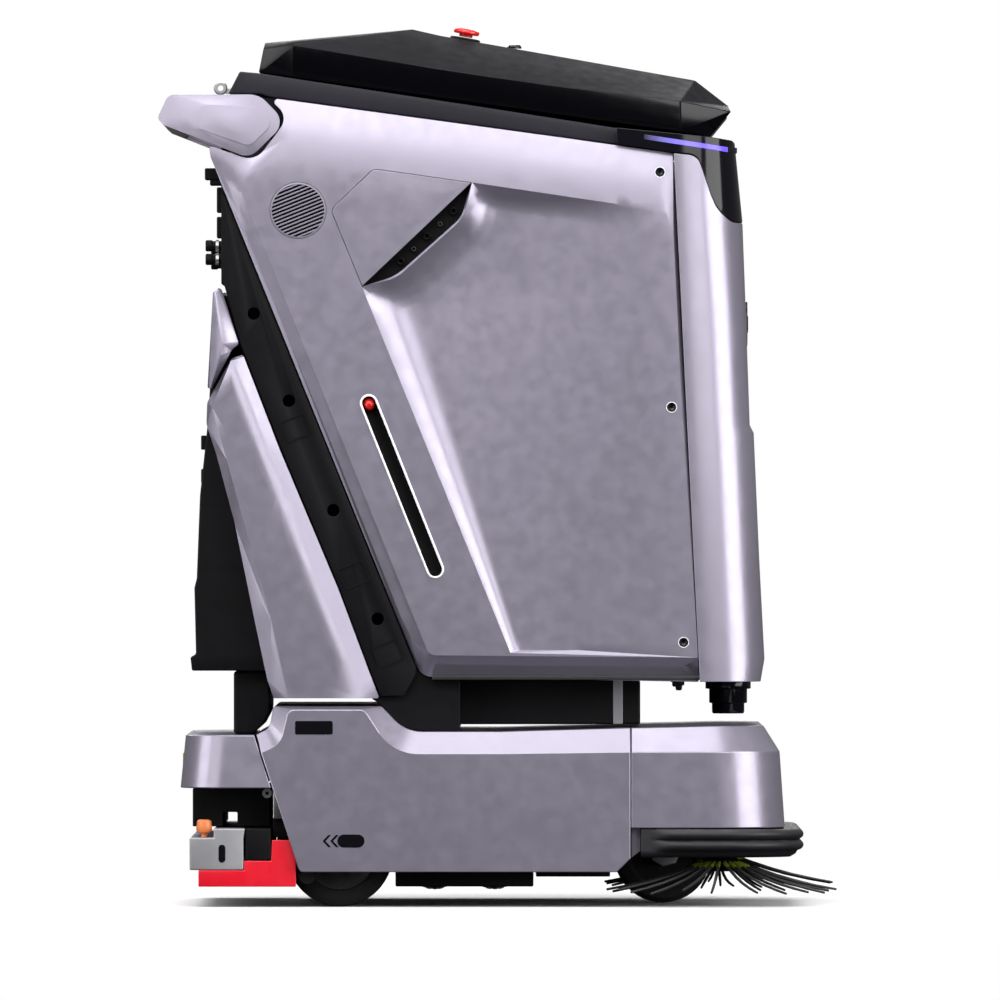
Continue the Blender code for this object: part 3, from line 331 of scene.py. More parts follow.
def turned_parts(profile, axis, center, steps):
    """The points and faces of a profile of (radius, height) turned round an axis."""
    vertices = []
    rows = []
    for radius, height in profile:
        around = 1 if radius == 0 else steps
        row = []
        for step in range(around):
            angle = 2 * math.pi * step / steps
            row.append(len(vertices))
            point = placed(axis, radius * math.cos(angle), radius * math.sin(angle), height)
            vertices.append(Vector(point) + Vector(center))
        rows.append(row)
    faces = []
    for first, second in zip(rows, rows[1:]):
        for step in range(steps):
            after = (step + 1) % steps
            corners = [first[step % len(first)], first[after % len(first)]]
            corners += [second[after % len(second)], second[step % len(second)]]
            faces.append(tuple(dict.fromkeys(corners)))
    return vertices, faces


def turned(name, profile, axis, center, finish, steps=ROUND_STEPS, **more):
    vertices, faces = turned_parts(profile, axis, center, steps)
    return add_piece(name, new_mesh(name, vertices, faces), finish, **more)


def grid(rows):
    """The points and faces of an open surface through rows of points."""
    count = len(rows[0])
    vertices = [Vector(point) for row in rows for point in row]
    faces = []
    for row in range(len(rows) - 1):
        for i in range(count - 1):
            start = row * count + i
            faces.append((start, start + 1, start + count + 1, start + count))
    return vertices, faces


def sheet(name, rows, finish, thickness, close_ends=(False, False), **more):
    """A shell whose outer face runs through rows of points, thickened inwards."""
    vertices, faces = grid(rows)
    count = len(rows[0])
    last = (len(rows) - 1) * count
    if close_ends[0]:
        faces.append(tuple(reversed(range(count))))
    if close_ends[1]:
        faces.append(tuple(range(last, last + count)))
    mesh = new_mesh(name, vertices, faces, closed=False)
    middle = sum(vertices, Vector()) / len(vertices)
    outward = sum(face.area * face.normal.dot(face.center - middle) for face in mesh.polygons)
    if outward < 0:
        mesh.flip_normals()
    return thickened(name, mesh, finish, thickness, **more)


def thickened(name, mesh, finish, thickness, bevel=0.0, **more):
    """An open surface made into a wall, with its rim and its folds rounded."""
    obj = add_piece(name, mesh, finish, bevel=0.0, **more)
    wall = obj.modifiers.new("wall", "SOLIDIFY")
    wall.thickness = thickness
    wall.offset = -1
    wall.use_even_offset = True
    if bevel:
        round_edges(obj, bevel, more.get("angle", 30.0))
    return obj


# Profiles.


def rounded(points, radius, closed=True, steps=6):
    """A line with its corners rounded. The radius is one number, or one for each point."""
    count = len(points)
    radii = list(radius) if hasattr(radius, "__len__") else [radius] * count
    line = []
    for i, point in enumerate(points):
        here = Vector(point)
        if radii[i] == 0 or (not closed and i in (0, count - 1)):
            line.append(tuple(here))
            continue
        back = Vector(points[i - 1]) - here
        onward = Vector(points[(i + 1) % count]) - here
        half = back.angle(onward) / 2
        if half > math.radians(89.5):
            line.append(tuple(here))
            continue
        reach = min(radii[i] / math.tan(half), 0.48 * back.length, 0.48 * onward.length)
        size = reach * math.tan(half)
        middle = here + (back.normalized() + onward.normalized()).normalized() * (size / math.sin(half))
        start = here + back.normalized() * reach - middle
        turn = math.copysign(math.pi - 2 * half, back.x * onward.y - back.y * onward.x)
        for step in range(steps + 1):
            spin = -turn * step / steps
            cosine, sine = math.cos(spin), math.sin(spin)
            x = middle.x + start.x * cosine - start.y * sine
            line.append((x, middle.y + start.x * sine + start.y * cosine))
    return line


def between_faces(side, inner, outer):
    """The low and high Y of something between two distances from the middle line, on one side."""
    return sorted((side * inner, side * outer))


def at_angle(center, radius, angle):
    return center[0] + radius * math.cos(angle), center[1] + radius * math.sin(angle)


def circle(center, radius, steps=ROUND_STEPS):
    return [at_angle(center, radius, 2 * math.pi * step / steps) for step in range(steps)]


def slot_outline(start, end, half_width, steps=12):
    """A slot with round ends, from the middle of one end to the middle of the other."""
    heading = math.atan2(end[1] - start[1], end[0] - start[0])
    points = []
    for center, turn in ((end, -math.pi / 2), (start, math.pi / 2)):
        for step in range(steps + 1):
            points.append(at_angle(center, half_width, heading + turn + math.pi * step / steps))
    return points


def smooth_step(value):
    value = max(0.0, min(1.0, value))
    return value * value * (3 - 2 * value)


def height_at(points, x):
    """The height of a polyline at x, held level past its ends."""
    if x <= points[0][0]:
        return points[0][1]
    for (x0, z0), (x1, z1) in zip(points, points[1:]):
        if x <= x1:
            return z0 + (x - x0) / (x1 - x0) * (z1 - z0) if x1 > x0 else z1
    return points[-1][1]


def wrap_path(end_x, nose_x, half_width, radius, steps=14, side_xs=()):
    """The plan path of a cover that wraps round one end of the machine, from right to left."""
    heading = math.copysign(1.0, nose_x - end_x)
    right = [(end_x, -half_width)] + [(x, -half_width) for x in side_xs]
    for step in range(steps + 1):
        angle = math.pi / 2 * step / steps
        x = nose_x - heading * radius * (1 - math.sin(angle))
        right.append((x, -half_width + radius * (1 - math.cos(angle))))
    return right + [(x, -y) for x, y in reversed(right)]


def distance_to(point, line):
    """The distance from a point to a line of points."""
    best = 1e9
    here = Vector(point)
    for start, end in zip(line, line[1:]):
        a, b = Vector(start), Vector(end)
        share = max(0.0, min(1.0, (here - a).dot(b - a) / (b - a).length_squared))
        best = min(best, (here - a.lerp(b, share)).length)
    return best


def is_inside(point, outline):
    x, z = point
    inside = False
    for i, (x1, z1) in enumerate(outline):
        x0, z0 = outline[i - 1]
        if (z0 > z) != (z1 > z) and x < x0 + (z - z0) / (z1 - z0) * (x1 - x0):
            inside = not inside
    return inside


def relief(name, outline, holes, creases, depth_at, surface_y, side, spacing, finish, thickness,
           rim_y=None, **more):
    """A side cover: its outline and creases filled with a grid of points, each set back by its depth."""
    loops = [list(outline)] + [list(hole) for hole in holes]
    points = []
    edges = []
    for loop in loops:
        start = len(points)
        points += loop
        edges += [(start + i, start + (i + 1) % len(loop)) for i in range(len(loop))]
    for line in creases:
        start = len(points)
        points += line
        edges += [(start + i, start + i + 1) for i in range(len(line) - 1)]
    lines = [loop + loop[:1] for loop in loops] + [list(line) for line in creases]
    low_x, high_x = min(x for x, _ in outline), max(x for x, _ in outline)
    low_z, high_z = min(z for _, z in outline), max(z for _, z in outline)
    for row in range(1, int((high_z - low_z) / spacing)):
        for column in range(1, int((high_x - low_x) / spacing)):
            point = (low_x + column * spacing, low_z + row * spacing)
            if is_inside(point, outline) and all(distance_to(point, line) > 0.45 * spacing for line in lines):
                points.append(point)
    flat, _, triangles, *_ = delaunay_2d_cdt([Vector(p) for p in points], edges, [], 0, 1e-7)
    vertices = [(p.x, side * (surface_y - depth_at(p.x, p.y)), p.y) for p in flat]
    faces = []
    for corners in triangles:
        middle = sum((flat[i] for i in corners), Vector((0, 0))) / 3
        if is_inside(middle, outline) and not any(is_inside(middle, hole) for hole in holes):
            faces.append(tuple(corners))
    mesh = new_mesh(name, vertices, faces, closed=False)
    if sum(face.normal.y for face in mesh.polygons) * side < 0:
        mesh.flip_normals()
    shape = bmesh.new()
    shape.from_mesh(mesh)
    bmesh.ops.delete(shape, geom=[v for v in shape.verts if not v.link_faces], context="VERTS")
    if rim_y is not None:
        rim = [edge for edge in shape.edges if edge.is_boundary]
        for part in bmesh.ops.extrude_edge_only(shape, edges=rim)["geom"]:
            if isinstance(part, bmesh.types.BMVert):
                part.co.y = side * rim_y
        bmesh.ops.recalc_face_normals(shape, faces=shape.faces)
    shape.to_mesh(mesh)
    shape.free()
    if sum(face.area * face.normal.y for face in mesh.polygons) * side < 0:
        mesh.flip_normals()
    return thickened(name, mesh, finish, thickness, **more)


# The side panels.

SKIN_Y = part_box("side_panel_left")[1].y
PANEL_LOW, PANEL_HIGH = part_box("side_panel_right")
PANEL_TOP_FRONT = (0.2163, 0.9425)
PANEL_BOTTOM_FRONT = (PANEL_HIGH.x, PANEL_LOW.z)
PANEL_CORNERS = (
    # corner (x, z), radius
    ((-0.2900, 1.0122), 0.004), ((-0.2640, 0.9880), 0.022), ((-0.3060, 0.9320), 0.024),
    ((-0.3640, 0.9523), 0.003), ((-0.3620, 0.9380), 0.020), ((-0.0985, 0.2880), 0.020),
    (PANEL_BOTTOM_FRONT, 0.002), (PANEL_TOP_FRONT, 0.001), ((0.0750, 0.9625), 0.0),
)
PANEL_OUTLINE = rounded([corner for corner, _ in PANEL_CORNERS], [radius for _, radius in PANEL_CORNERS])
CHAMFER_LINE = rounded(
    ((-0.2680, 0.9600), (-0.3280, 0.9060), (-0.0885, 0.3150), (PANEL_BOTTOM_FRONT[0] - 0.0015, 0.3120)),
    (0, 0.022, 0.012, 0), closed=False,
)
CHAMFER_DEPTH = 0.012
UNDERSIDE_DEPTH = 0.025
TOP_ROLL_DEPTH = 0.012
TOP_ROLL_HEIGHT = 0.105
FLAP_TIP = (-0.0350, 0.9060)
FLAP_HEEL = (-0.1725, 0.7755)
FLAP_OUTLINE = rounded(
    ((-0.1585, 0.9235), (-0.2120, 0.8720), FLAP_HEEL, FLAP_TIP), (0.012, 0.010, 0.0, 0.0),
)
POCKET_CURVE = rounded(
    (FLAP_HEEL, (-0.1300, 0.7860), (-0.0450, 0.8620), FLAP_TIP), (0, 0.060, 0.040, 0), closed=False, steps=8,
)
RECESS_TOP_END = (0.2080, 0.8700)
RECESS_FOOT = (0.0130, 0.3180)
RECESS_DEPTH = 0.023
RECESS_FRONT_X = 0.2150
LEDGE_SLOPE = 0.030
POCKET_SLOPE = 0.050
SCREW_PLACES = ((0.2000, 0.9190), (0.2145, 0.6250), (0.2295, 0.3310))
SCREW_RADIUS = 0.0058
SPEAKER_CENTER = (-0.2525, 0.8710)
SPEAKER_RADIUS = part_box("speaker_grille")[1].z - SPEAKER_CENTER[1]
LEVEL_TOP = (-0.1640, 0.6300)
LEVEL_BOTTOM = (-0.0810, 0.4220)
LEVEL_HALF_WIDTH = 0.0109


def edge_distance(point, start, end):
    """How far a point is to the right of the line from start to end, as seen in the side profile."""
    along = (Vector(end) - Vector(start)).normalized()
    offset = Vector(point) - Vector(start)
    return offset.x * along.y - offset.y * along.x


def panel_top_z(x):
    return height_at(((-0.2925, 1.0125), (0.0750, 0.9625), PANEL_TOP_FRONT), x)


RECESS_OUTLINE = [
    FLAP_HEEL, *POCKET_CURVE[1:-1], FLAP_TIP, RECESS_TOP_END, (0.2400, 0.8000), (0.2480, 0.3120), RECESS_FOOT,
]
CHAMFER_OUTLINE = CHAMFER_LINE + [(0.3000, 0.3120), (0.3000, 1.1000), (-0.2000, 1.1000)]


def panel_depth(x, z):
    """How far the cover is set back at a point: rolled top, chamfered rear and underside, dished recess."""
    point = (x, z)
    below_top = panel_top_z(x) - z
    depth = TOP_ROLL_DEPTH * max(0.0, 1.0 - below_top / TOP_ROLL_HEIGHT) ** 2
    if not is_inside(point, CHAMFER_OUTLINE) and z < 0.96:
        inner = distance_to(point, CHAMFER_LINE)
        outer = distance_to(point, PANEL_OUTLINE)
        underside = smooth_step((0.330 - z) / 0.03)
        full = CHAMFER_DEPTH + underside * (UNDERSIDE_DEPTH - CHAMFER_DEPTH)
        full *= 0.15 + 0.85 * smooth_step((0.955 - z) / 0.12)
        depth += full * inner / max(inner + outer, 1e-6)
    depth_share = smooth_step((RECESS_FRONT_X - x) / 0.25)
    if depth_share and is_inside(point, RECESS_OUTLINE):
        rise = max(0.0, min(1.0, (z - RECESS_FOOT[1]) / (FLAP_HEEL[1] - RECESS_FOOT[1])))
        width = recess_width(rise)
        from_edge = edge_distance(point, RECESS_FOOT, FLAP_HEEL)
        from_top = edge_distance(point, FLAP_TIP, RECESS_TOP_END)
        from_flap = distance_to(point, POCKET_CURVE)
        floor = RECESS_DEPTH * (0.25 + 0.75 * rise) * depth_share
        fall = 1.0
        for share in (from_edge / width, from_top / LEDGE_SLOPE, from_flap / POCKET_SLOPE):
            fall *= 1.0 - (1.0 - max(0.0, min(1.0, share))) ** 2.4
        depth += floor * fall
    return depth


def recess_width(rise):
    """How wide the bright slope along the recess's rear edge is, from its foot (0) to its top (1)."""
    return 0.014 + 0.046 * rise


def between(start, end, count):
    return [tuple(Vector(start).lerp(Vector(end), i / count)) for i in range(count + 1)]


def shape_lines():
    """Lines along the recess's edges, close together where its slope bends, so that it shades smoothly."""
    lines = [CHAMFER_LINE]
    forward = (Vector(FLAP_HEEL) - Vector(RECESS_FOOT)).normalized()
    forward = Vector((forward.y, -forward.x))
    for share in (0.0, 0.10, 0.22, 0.36, 0.52, 0.70, 0.88, 1.0):
        foot = Vector(RECESS_FOOT) + forward * recess_width(0) * share
        head = Vector(FLAP_HEEL) + forward * recess_width(1) * share
        lines.append(between(foot, head, 44)[0 if share == 0 else 1:])
    down = (Vector(RECESS_TOP_END) - Vector(FLAP_TIP)).normalized()
    down = Vector((down.y, -down.x))
    for share in (0.0, 0.12, 0.28, 0.46, 0.66, 0.85, 1.0):
        shift = down * LEDGE_SLOPE * share
        line = between(Vector(FLAP_TIP) + shift, Vector(RECESS_TOP_END) + shift, 26)
        lines.append(line[0 if share == 0 else 1:])
    for share in (0.10, 0.24, 0.40, 0.60, 0.80, 1.0):
        lines.append(shifted(POCKET_CURVE[1:-1], -POCKET_SLOPE * share))
    return lines


def shifted(line, distance):
    """An open line moved to its left by a distance."""
    moved = []
    for i, point in enumerate(line):
        along = (Vector(line[min(i + 1, len(line) - 1)]) - Vector(line[max(i - 1, 0)])).normalized()
        moved.append((point[0] - along.y * distance, point[1] + along.x * distance))
    return moved


def make_side_panel(side, label):
    creases = shape_lines()
    opening = FLAP_OUTLINE[:-1] + POCKET_CURVE[1:-1] + [FLAP_TIP]
    holes = [opening] + [circle(place, SCREW_RADIUS + 0.0010, 24) for place in SCREW_PLACES]
    if side == RIGHT:
        holes.append(circle(SPEAKER_CENTER, SPEAKER_RADIUS + 0.0006, 64))
        holes.append(slot_outline(LEVEL_TOP, LEVEL_BOTTOM, LEVEL_HALF_WIDTH))
    relief("side_cover_" + label, PANEL_OUTLINE, holes, creases, panel_depth, SKIN_Y, side, 0.010, "paint",
           0.0035, replaces=("side_panel_" + label,), bevel=0.0007, angle=22.0)
    # The flap over the pocket, with a thin seam round it.
    relief("pocket_flap_" + label, inset(FLAP_OUTLINE, 0.0007), [], [], panel_depth, SKIN_Y, side, 0.012,
           "paint", 0.0040, bevel=0.0008, angle=40.0)
    make_pocket(side, label)
    for number, place in enumerate(SCREW_PLACES):
        make_panel_screw(side, f"panel_screw_{label}_{number + 1}", place)


def inset(outline, distance):
    """An outline moved inwards by a distance."""
    count = len(outline)
    area = 0.0
    for i in range(count):
        (x0, z0), (x1, z1) = outline[i - 1], outline[i]
        area += x0 * z1 - x1 * z0
    turn = math.copysign(1.0, area)
    moved = []
    for i in range(count):
        here = Vector(outline[i])
        first = (here - Vector(outline[i - 1])).normalized()
        second = (Vector(outline[(i + 1) % count]) - here).normalized()
        inward_a = Vector((-first.y, first.x)) * turn
        inward_b = Vector((-second.y, second.x)) * turn
        shift = distance / max(0.3, 1 + inward_a.dot(inward_b))
        moved.append(tuple(here + (inward_a + inward_b) * shift))
    return moved


def make_pocket(side, label):
    """The dark connector pocket under the flap, with a row of small sockets."""
    back = side * (SKIN_Y - 0.024)
    lip = side * (SKIN_Y - 0.0040)
    plate = [FLAP_HEEL] + POCKET_CURVE[1:-1] + [FLAP_TIP, (-0.060, 0.906), (-0.176, 0.796)]
    prism("pocket_back_" + label, plate, "Y", *sorted((back, back + side * 0.002)), "black")
    wall = [[(x, y, z) for x, z in POCKET_CURVE] for y in (lip, back)]
    sheet("pocket_wall_" + label, wall, "black", 0.0015)
    along = Vector(FLAP_TIP) - Vector(FLAP_HEEL)
    across = Vector((along.y, -along.x)).normalized()
    for number, share in enumerate((0.30, 0.42, 0.54, 0.66, 0.78)):
        spot = Vector(FLAP_HEEL) + along * share + across * 0.010
        start = back + side * 0.002
        end = start + side * 0.007
        size, finish = (0.0030, "hub") if number % 2 else (0.0046, "gloss_black")
        profile = ((size, start), (size, end), (size * 0.6, end), (size * 0.6, start))
        turned(f"pocket_socket_{label}_{number + 1}", profile, "Y", (spot.x, 0, spot.y), finish, steps=24,
               bevel=0.0004)


def make_panel_screw(side, name, place):
    """A dark socket screw, sunk in a hole with a thin ring painted near white as a highlight."""
    face = side * (SKIN_Y - panel_depth(*place))
    out = side * 0.0006
    sunk = -side * 0.0030
    inner, outer = SCREW_RADIUS + 0.0001, SCREW_RADIUS + 0.0010
    deep = face - side * 0.003
    ring = ((outer, deep), (outer, face + out), (inner, face + out), (inner, deep), (outer, deep))
    turned(name + "_ring", ring, "Y", (place[0], 0, place[1]), "painted_highlight_rim", steps=32)
    head = (
        (0, 0), (0.0012, 0), (0.0016, 0.0016), (0.0034, 0.0022), (0.0052, 0.0008), (0.0056, 0),
        (0.0056, -0.0015), (0, -0.0015),
    )
    head = [(radius, face + sunk + side * height) for radius, height in head]
    turned(name, head, "Y", (place[0], 0, place[1]), "gloss_black", steps=32)


def make_speaker():
    """A round grille of slanted bars."""
    face = -SKIN_Y + 0.0003
    center = (SPEAKER_CENTER[0], 0, SPEAKER_CENTER[1])
    inner = SPEAKER_RADIUS - 0.0022
    ring = (
        (inner, face + 0.003), (inner, face - 0.0001), (SPEAKER_RADIUS, face + 0.0001),
        (SPEAKER_RADIUS, face + 0.003),
    )
    turned("speaker_ring", ring, "Y", center, "paint", replaces=("speaker_grille",))
    cloth = SPEAKER_RADIUS - 0.0010
    disc = ((0, face + 0.0060), (cloth, face + 0.0060), (cloth, face + 0.0075), (0, face + 0.0075))
    turned("speaker_cloth", disc, "Y", center, "black")
    bars = 15
    pitch = 2 * inner / bars
    vertices = []
    faces = []
    for bar in range(bars):
        across = (bar - (bars - 1) / 2) * pitch
        half_length = math.sqrt((SPEAKER_RADIUS - 0.0015) ** 2 - across**2)
        first = len(vertices)
        for y in (face + 0.0003, face + 0.0030):
            for along, up in ((-1, -1), (1, -1), (1, 1), (-1, 1)):
                a, b = along * half_length, across + up * pitch * 0.21
                x = center[0] + a * math.cos(DOWN_FROM_VERTICAL) - b * math.sin(DOWN_FROM_VERTICAL)
                z = center[2] + a * math.sin(DOWN_FROM_VERTICAL) + b * math.cos(DOWN_FROM_VERTICAL)
                vertices.append((x, y, z))
        faces += [tuple(first + i for i in range(4)), tuple(first + 4 + i for i in range(4))]
        faces += [(first + i, first + (i + 1) % 4, first + 4 + (i + 1) % 4, first + 4 + i) for i in range(4)]
    add_piece("speaker_bars", new_mesh("speaker_bars", vertices, faces), "paint", bevel=0.0003)


def make_level_gauge():
    """A rim painted near white as a highlight, round a dark channel, in which the red float slides."""
    face = -SKIN_Y
    rows = []
    section = (
        (0.0004, 0.0006), (0.0004, -0.0008), (-0.0004, -0.0014), (-0.0018, -0.0014), (-0.0024, -0.0008),
        (-0.0024, 0.0030), (0.0004, 0.0006),
    )
    for width, y in section:
        outline = slot_outline(LEVEL_TOP, LEVEL_BOTTOM, LEVEL_HALF_WIDTH + width)
        rows.append([(x, face + y, z) for x, z in outline + outline[:1]])
    rim = rows_mesh("level_rim", rows)
    add_piece("level_rim", rim, "painted_highlight_rim", angle=60.0)
    refine("level_gauge", "black", 0.0003)
    refine("level_float", "red_plastic", 0.0)


def rows_mesh(name, rows):
    """An open surface through rows of points, facing away from the machine's middle line."""
    mesh = new_mesh(name, *grid(rows), closed=False)
    shape = bmesh.new()
    shape.from_mesh(mesh)
    bmesh.ops.remove_doubles(shape, verts=shape.verts, dist=1e-6)
    bmesh.ops.recalc_face_normals(shape, faces=shape.faces)
    shape.to_mesh(mesh)
    shape.free()
    if sum(face.area * face.normal.y * face.center.y for face in mesh.polygons) < 0:
        mesh.flip_normals()
    return mesh


# The front of the body.

NOSE_EDGE = (
    (0.2816, 0.3265), (0.3100, 0.3315), (0.4340, 0.3250), (0.5940, 0.3180), (0.6020, 0.3130),
    (0.7340, 0.3085), (0.8560, 0.3040), (0.9560, 0.2940),
)
LEAD_LENGTH = 0.034
LEAD_DROP = 0.004
LEAD_ANGLE = math.atan2(2 * LEAD_DROP, LEAD_LENGTH)
CORNER_STEPS = 14
SWOOP = rounded(
    ((0.2163, 0.9425), (0.2470, 0.9395), (0.2690, 0.8750), (0.2900, 0.8560), (0.3040, 0.8555)),
    (0, 0.016, 0.060, 0.020, 0), closed=False, steps=8,
)
WINDOW_TOP = ((0.1440, 0.9746), (0.2640, 0.9630), (0.2910, 0.9590), (0.2940, 0.9560))
WINDOW_REAR_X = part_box("sensor_window")[0].x
WINDOW_SEAM = 0.0014
COLUMNS_ON_SIDE = 12


def front_path(nose, seam_x, columns, rear_x=None, out=0.0):
    """A plan path round the front: level to the seam, a soft lead-in, then the corner."""
    bend = seam_x + LEAD_LENGTH
    radius = (nose - bend) / (1 - math.sin(LEAD_ANGLE))
    right = []
    if rear_x is not None:
        right += [(rear_x + (seam_x - rear_x) * i / columns, -SKIN_Y) for i in range(columns)]
    for i in range(columns):
        share = i / columns
        right.append((seam_x + LEAD_LENGTH * share, -SKIN_Y + LEAD_DROP * share * share))
    center_x = bend - radius * math.sin(LEAD_ANGLE)
    center_y = -SKIN_Y + LEAD_DROP + radius * math.cos(LEAD_ANGLE)
    for i in range(CORNER_STEPS + 1):
        angle = LEAD_ANGLE + (math.pi / 2 - LEAD_ANGLE) * i / CORNER_STEPS
        right.append((center_x + radius * math.sin(angle), center_y - radius * math.cos(angle)))
    path = right + [(x, -y) for x, y in reversed(right)]
    return shifted(path, -out) if out else path


def blend(first, second, share):
    """A row of points part of the way from one row to another."""
    return [tuple(Vector(a).lerp(Vector(b), share)) for a, b in zip(first, second)]


def make_front_cover():
    """Rows from the lower edge to the swoop. Near its top each column ends on the swoop."""
    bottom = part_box("front_panel")[0].z
    fixed = (bottom, 0.3100, 0.4340, 0.5930, 0.5985, 0.6030, 0.7340)
    rows = []
    for z in fixed:
        share = (z - PANEL_BOTTOM_FRONT[1]) / (PANEL_TOP_FRONT[1] - PANEL_BOTTOM_FRONT[1])
        start = PANEL_BOTTOM_FRONT[0] + share * (PANEL_TOP_FRONT[0] - PANEL_BOTTOM_FRONT[0]) + 0.001
        rows.append([(x, y, z) for x, y in front_path(height_at(NOSE_EDGE, z), start, COLUMNS_ON_SIDE)])
    last = front_path(height_at(NOSE_EDGE, SWOOP[-1][1]), PANEL_TOP_FRONT[0] + 0.001, COLUMNS_ON_SIDE)
    top = [(x, y, height_at(SWOOP, x)) for x, y in last]
    rows += [blend(rows[-1], top, share) for share in (0.35, 0.65, 0.85)] + [top]
    sheet("front_cover", rows, "paint", 0.0035, replaces=("front_panel",), bevel=0.0008, angle=40.0)
    # The camera window in the middle of the nose.
    outline = rounded(((-0.085, 0.702), (0.085, 0.702), (0.085, 0.760), (-0.085, 0.760)), 0.020)
    nose = height_at(NOSE_EDGE, 0.73)
    prism("nose_camera_window", outline, "X", nose - 0.002, nose + 0.0035, "gloss_black", bevel=0.0018)
    lens = (
        (0, 0.0040), (0.004, 0.0044), (0.007, 0.0036), (0.0095, 0.0046), (0.0110, 0.0042), (0.0112, 0.0030),
        (0, 0.0030),
    )
    lens = [(radius, nose + ahead) for radius, ahead in lens]
    for number, y in enumerate((-0.055, 0.0, 0.055)):
        turned(f"nose_camera_lens_{number + 1}", lens, "X", (0, y, 0.731), "lid_wall", steps=32)


def make_window():
    """The black window round the top of the front, and the light strip along its face."""
    seam = ((WINDOW_REAR_X, 0.9535), *SWOOP)
    seam_x = PANEL_TOP_FRONT[0] + 0.001
    rear_x = WINDOW_REAR_X + 0.001
    starts = front_path(WINDOW_TOP[-1][0], seam_x, COLUMNS_ON_SIDE, rear_x)
    ends = front_path(SWOOP[-1][0], seam_x, COLUMNS_ON_SIDE, rear_x)
    top = [(x, y, height_at(WINDOW_TOP, x)) for x, y in starts]
    bottom = [(x, y, height_at(seam, x) + WINDOW_SEAM) for x, y in ends]
    rows = [blend(bottom, top, share) for share in (0.0, 0.06, 0.5, 0.94, 1.0)]
    sheet("sensor_window_glass", rows, "gloss_black", 0.0030, replaces=("sensor_window",), bevel=0.0008,
          angle=40.0)
    strip = ((LIGHT_STRIP_START, 0.9630), (0.2860, 0.9472))
    rows = []
    for lift in (-0.0030, 0.0030):
        path = front_path(0.2965, seam_x, COLUMNS_ON_SIDE, LIGHT_STRIP_START, 0.0006)
        rows.append([(x, y, height_at(strip, x) + lift) for x, y in path])
    sheet("light_strip_lens", rows, "light_strip", 0.0010, replaces=("led_strip",), bevel=0.0003)


# The push handle, the top frame and the lid.

HANDLE_OUTLINE = rounded(
    ((-0.4150, 1.0160), (-0.4290, 0.9862), (-0.4200, 0.9778), (-0.3130, 0.9362), (-0.2672, 0.9810),
     (-0.3010, 1.0160)),
    (0.012, 0.007, 0.006, 0.020, 0.020, 0.030), steps=8,
)
HANDLE_BAR = rounded(
    ((-0.3975, 1.0158), (-0.4150, 1.0158), (-0.4288, 0.9862), (-0.4200, 0.9780), (-0.3975, 0.9694)),
    (0.006, 0.012, 0.007, 0.006, 0.006),
)
HANDLE_PAD = rounded(
    ((-0.3720, 1.0040), (-0.3780, 0.9740), (-0.3130, 0.9510), (-0.2820, 0.9805), (-0.3060, 1.0010)),
    (0.010, 0.006, 0.012, 0.012, 0.008),
)
HANDLE_HALF_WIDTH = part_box("push_handle")[1].y
HANDLE_ARM = 0.034
HANDLE_MOUNT = (
    (-0.3000, 0.9600), (-0.2550, 0.9600), (-0.2550, 1.0000), (-0.2750, 1.0120), (-0.3000, 1.0120),
)
HANDLE_MOUNT_Y = (0.2720, 0.2760)


def handle_depth(x, z):
    """The arm's outer face curves in towards its rear end, and leans in towards its upper and lower edges."""
    behind = max(0.0, (-0.300 - x) / 0.128)
    below = max(0.0, (0.990 - z) / 0.050)
    above = max(0.0, (z - 0.955) / 0.060)
    return 0.016 * behind**2 + 0.002 * below**2 + 0.006 * above


def make_handle():
    """Two arms and the bar between them. An arm has a raised pad outside and a dark mount behind it."""
    inner = HANDLE_HALF_WIDTH - HANDLE_ARM
    for side, label in SIDES:
        relief("handle_arm_" + label, HANDLE_OUTLINE, [], [HANDLE_PAD + HANDLE_PAD[:1]], handle_depth,
               HANDLE_HALF_WIDTH, side, 0.012, "paint", 0.003, rim_y=inner,
               replaces=("push_handle",) if side == RIGHT else (), bevel=0.0030, angle=50.0)
        low, high = between_faces(side, inner + 0.0005, inner + 0.0035)
        prism("handle_arm_inner_" + label, inset(HANDLE_OUTLINE, 0.0035), "Y", low, high, "paint",
              bevel=0.0005)
        relief("handle_pad_" + label, HANDLE_PAD, [], [], handle_depth, HANDLE_HALF_WIDTH + 0.0014, side,
               0.012, "paint", 0.002, bevel=0.0012, angle=50.0)
        low, high = between_faces(side, *HANDLE_MOUNT_Y)
        prism("handle_mount_" + label, HANDLE_MOUNT, "Y", low, high, "black", bevel=0.0006)
    half = inner + 0.0005
    prism("handle_bar", HANDLE_BAR, "Y", -half, half, "paint", bevel=0.0010, angle=60.0)


def make_top():
    """The top frame, the lid with its glossy side walls, which like its undersides are painted darker than
    its top as shade, the touchscreen and the stop button.
    """
    refine("top_frame", "dark_frame", 0.0022)
    lid = refine("lid_cover", "lid_top", 0.0026, angle=8.0)
    lid.data.materials.append(MATERIALS["lid_wall"])
    # Faces that look sideways or down get the wall finish: glossier, and painted darker as shade.
    for face in lid.data.polygons:
        if abs(face.normal.y) > 0.80 or face.normal.z < -0.2:
            face.material_index = 1
    refine("touchscreen", "gloss_black", 0.0012)
    refine("estop_base", "black", 0.0004)
    refine("estop_button", "red_plastic", 0.0008)
    dome = ((0, 1.0765), (0.0090, 1.0765), (0.0090, 1.0790), (0.0070, 1.0812), (0.0030, 1.0820), (0, 1.0822))
    turned("lid_signal_dome", dome, "Z", (0.0180, -0.1500, 0), "gloss_black", body="lid", steps=32)


# The base covers.

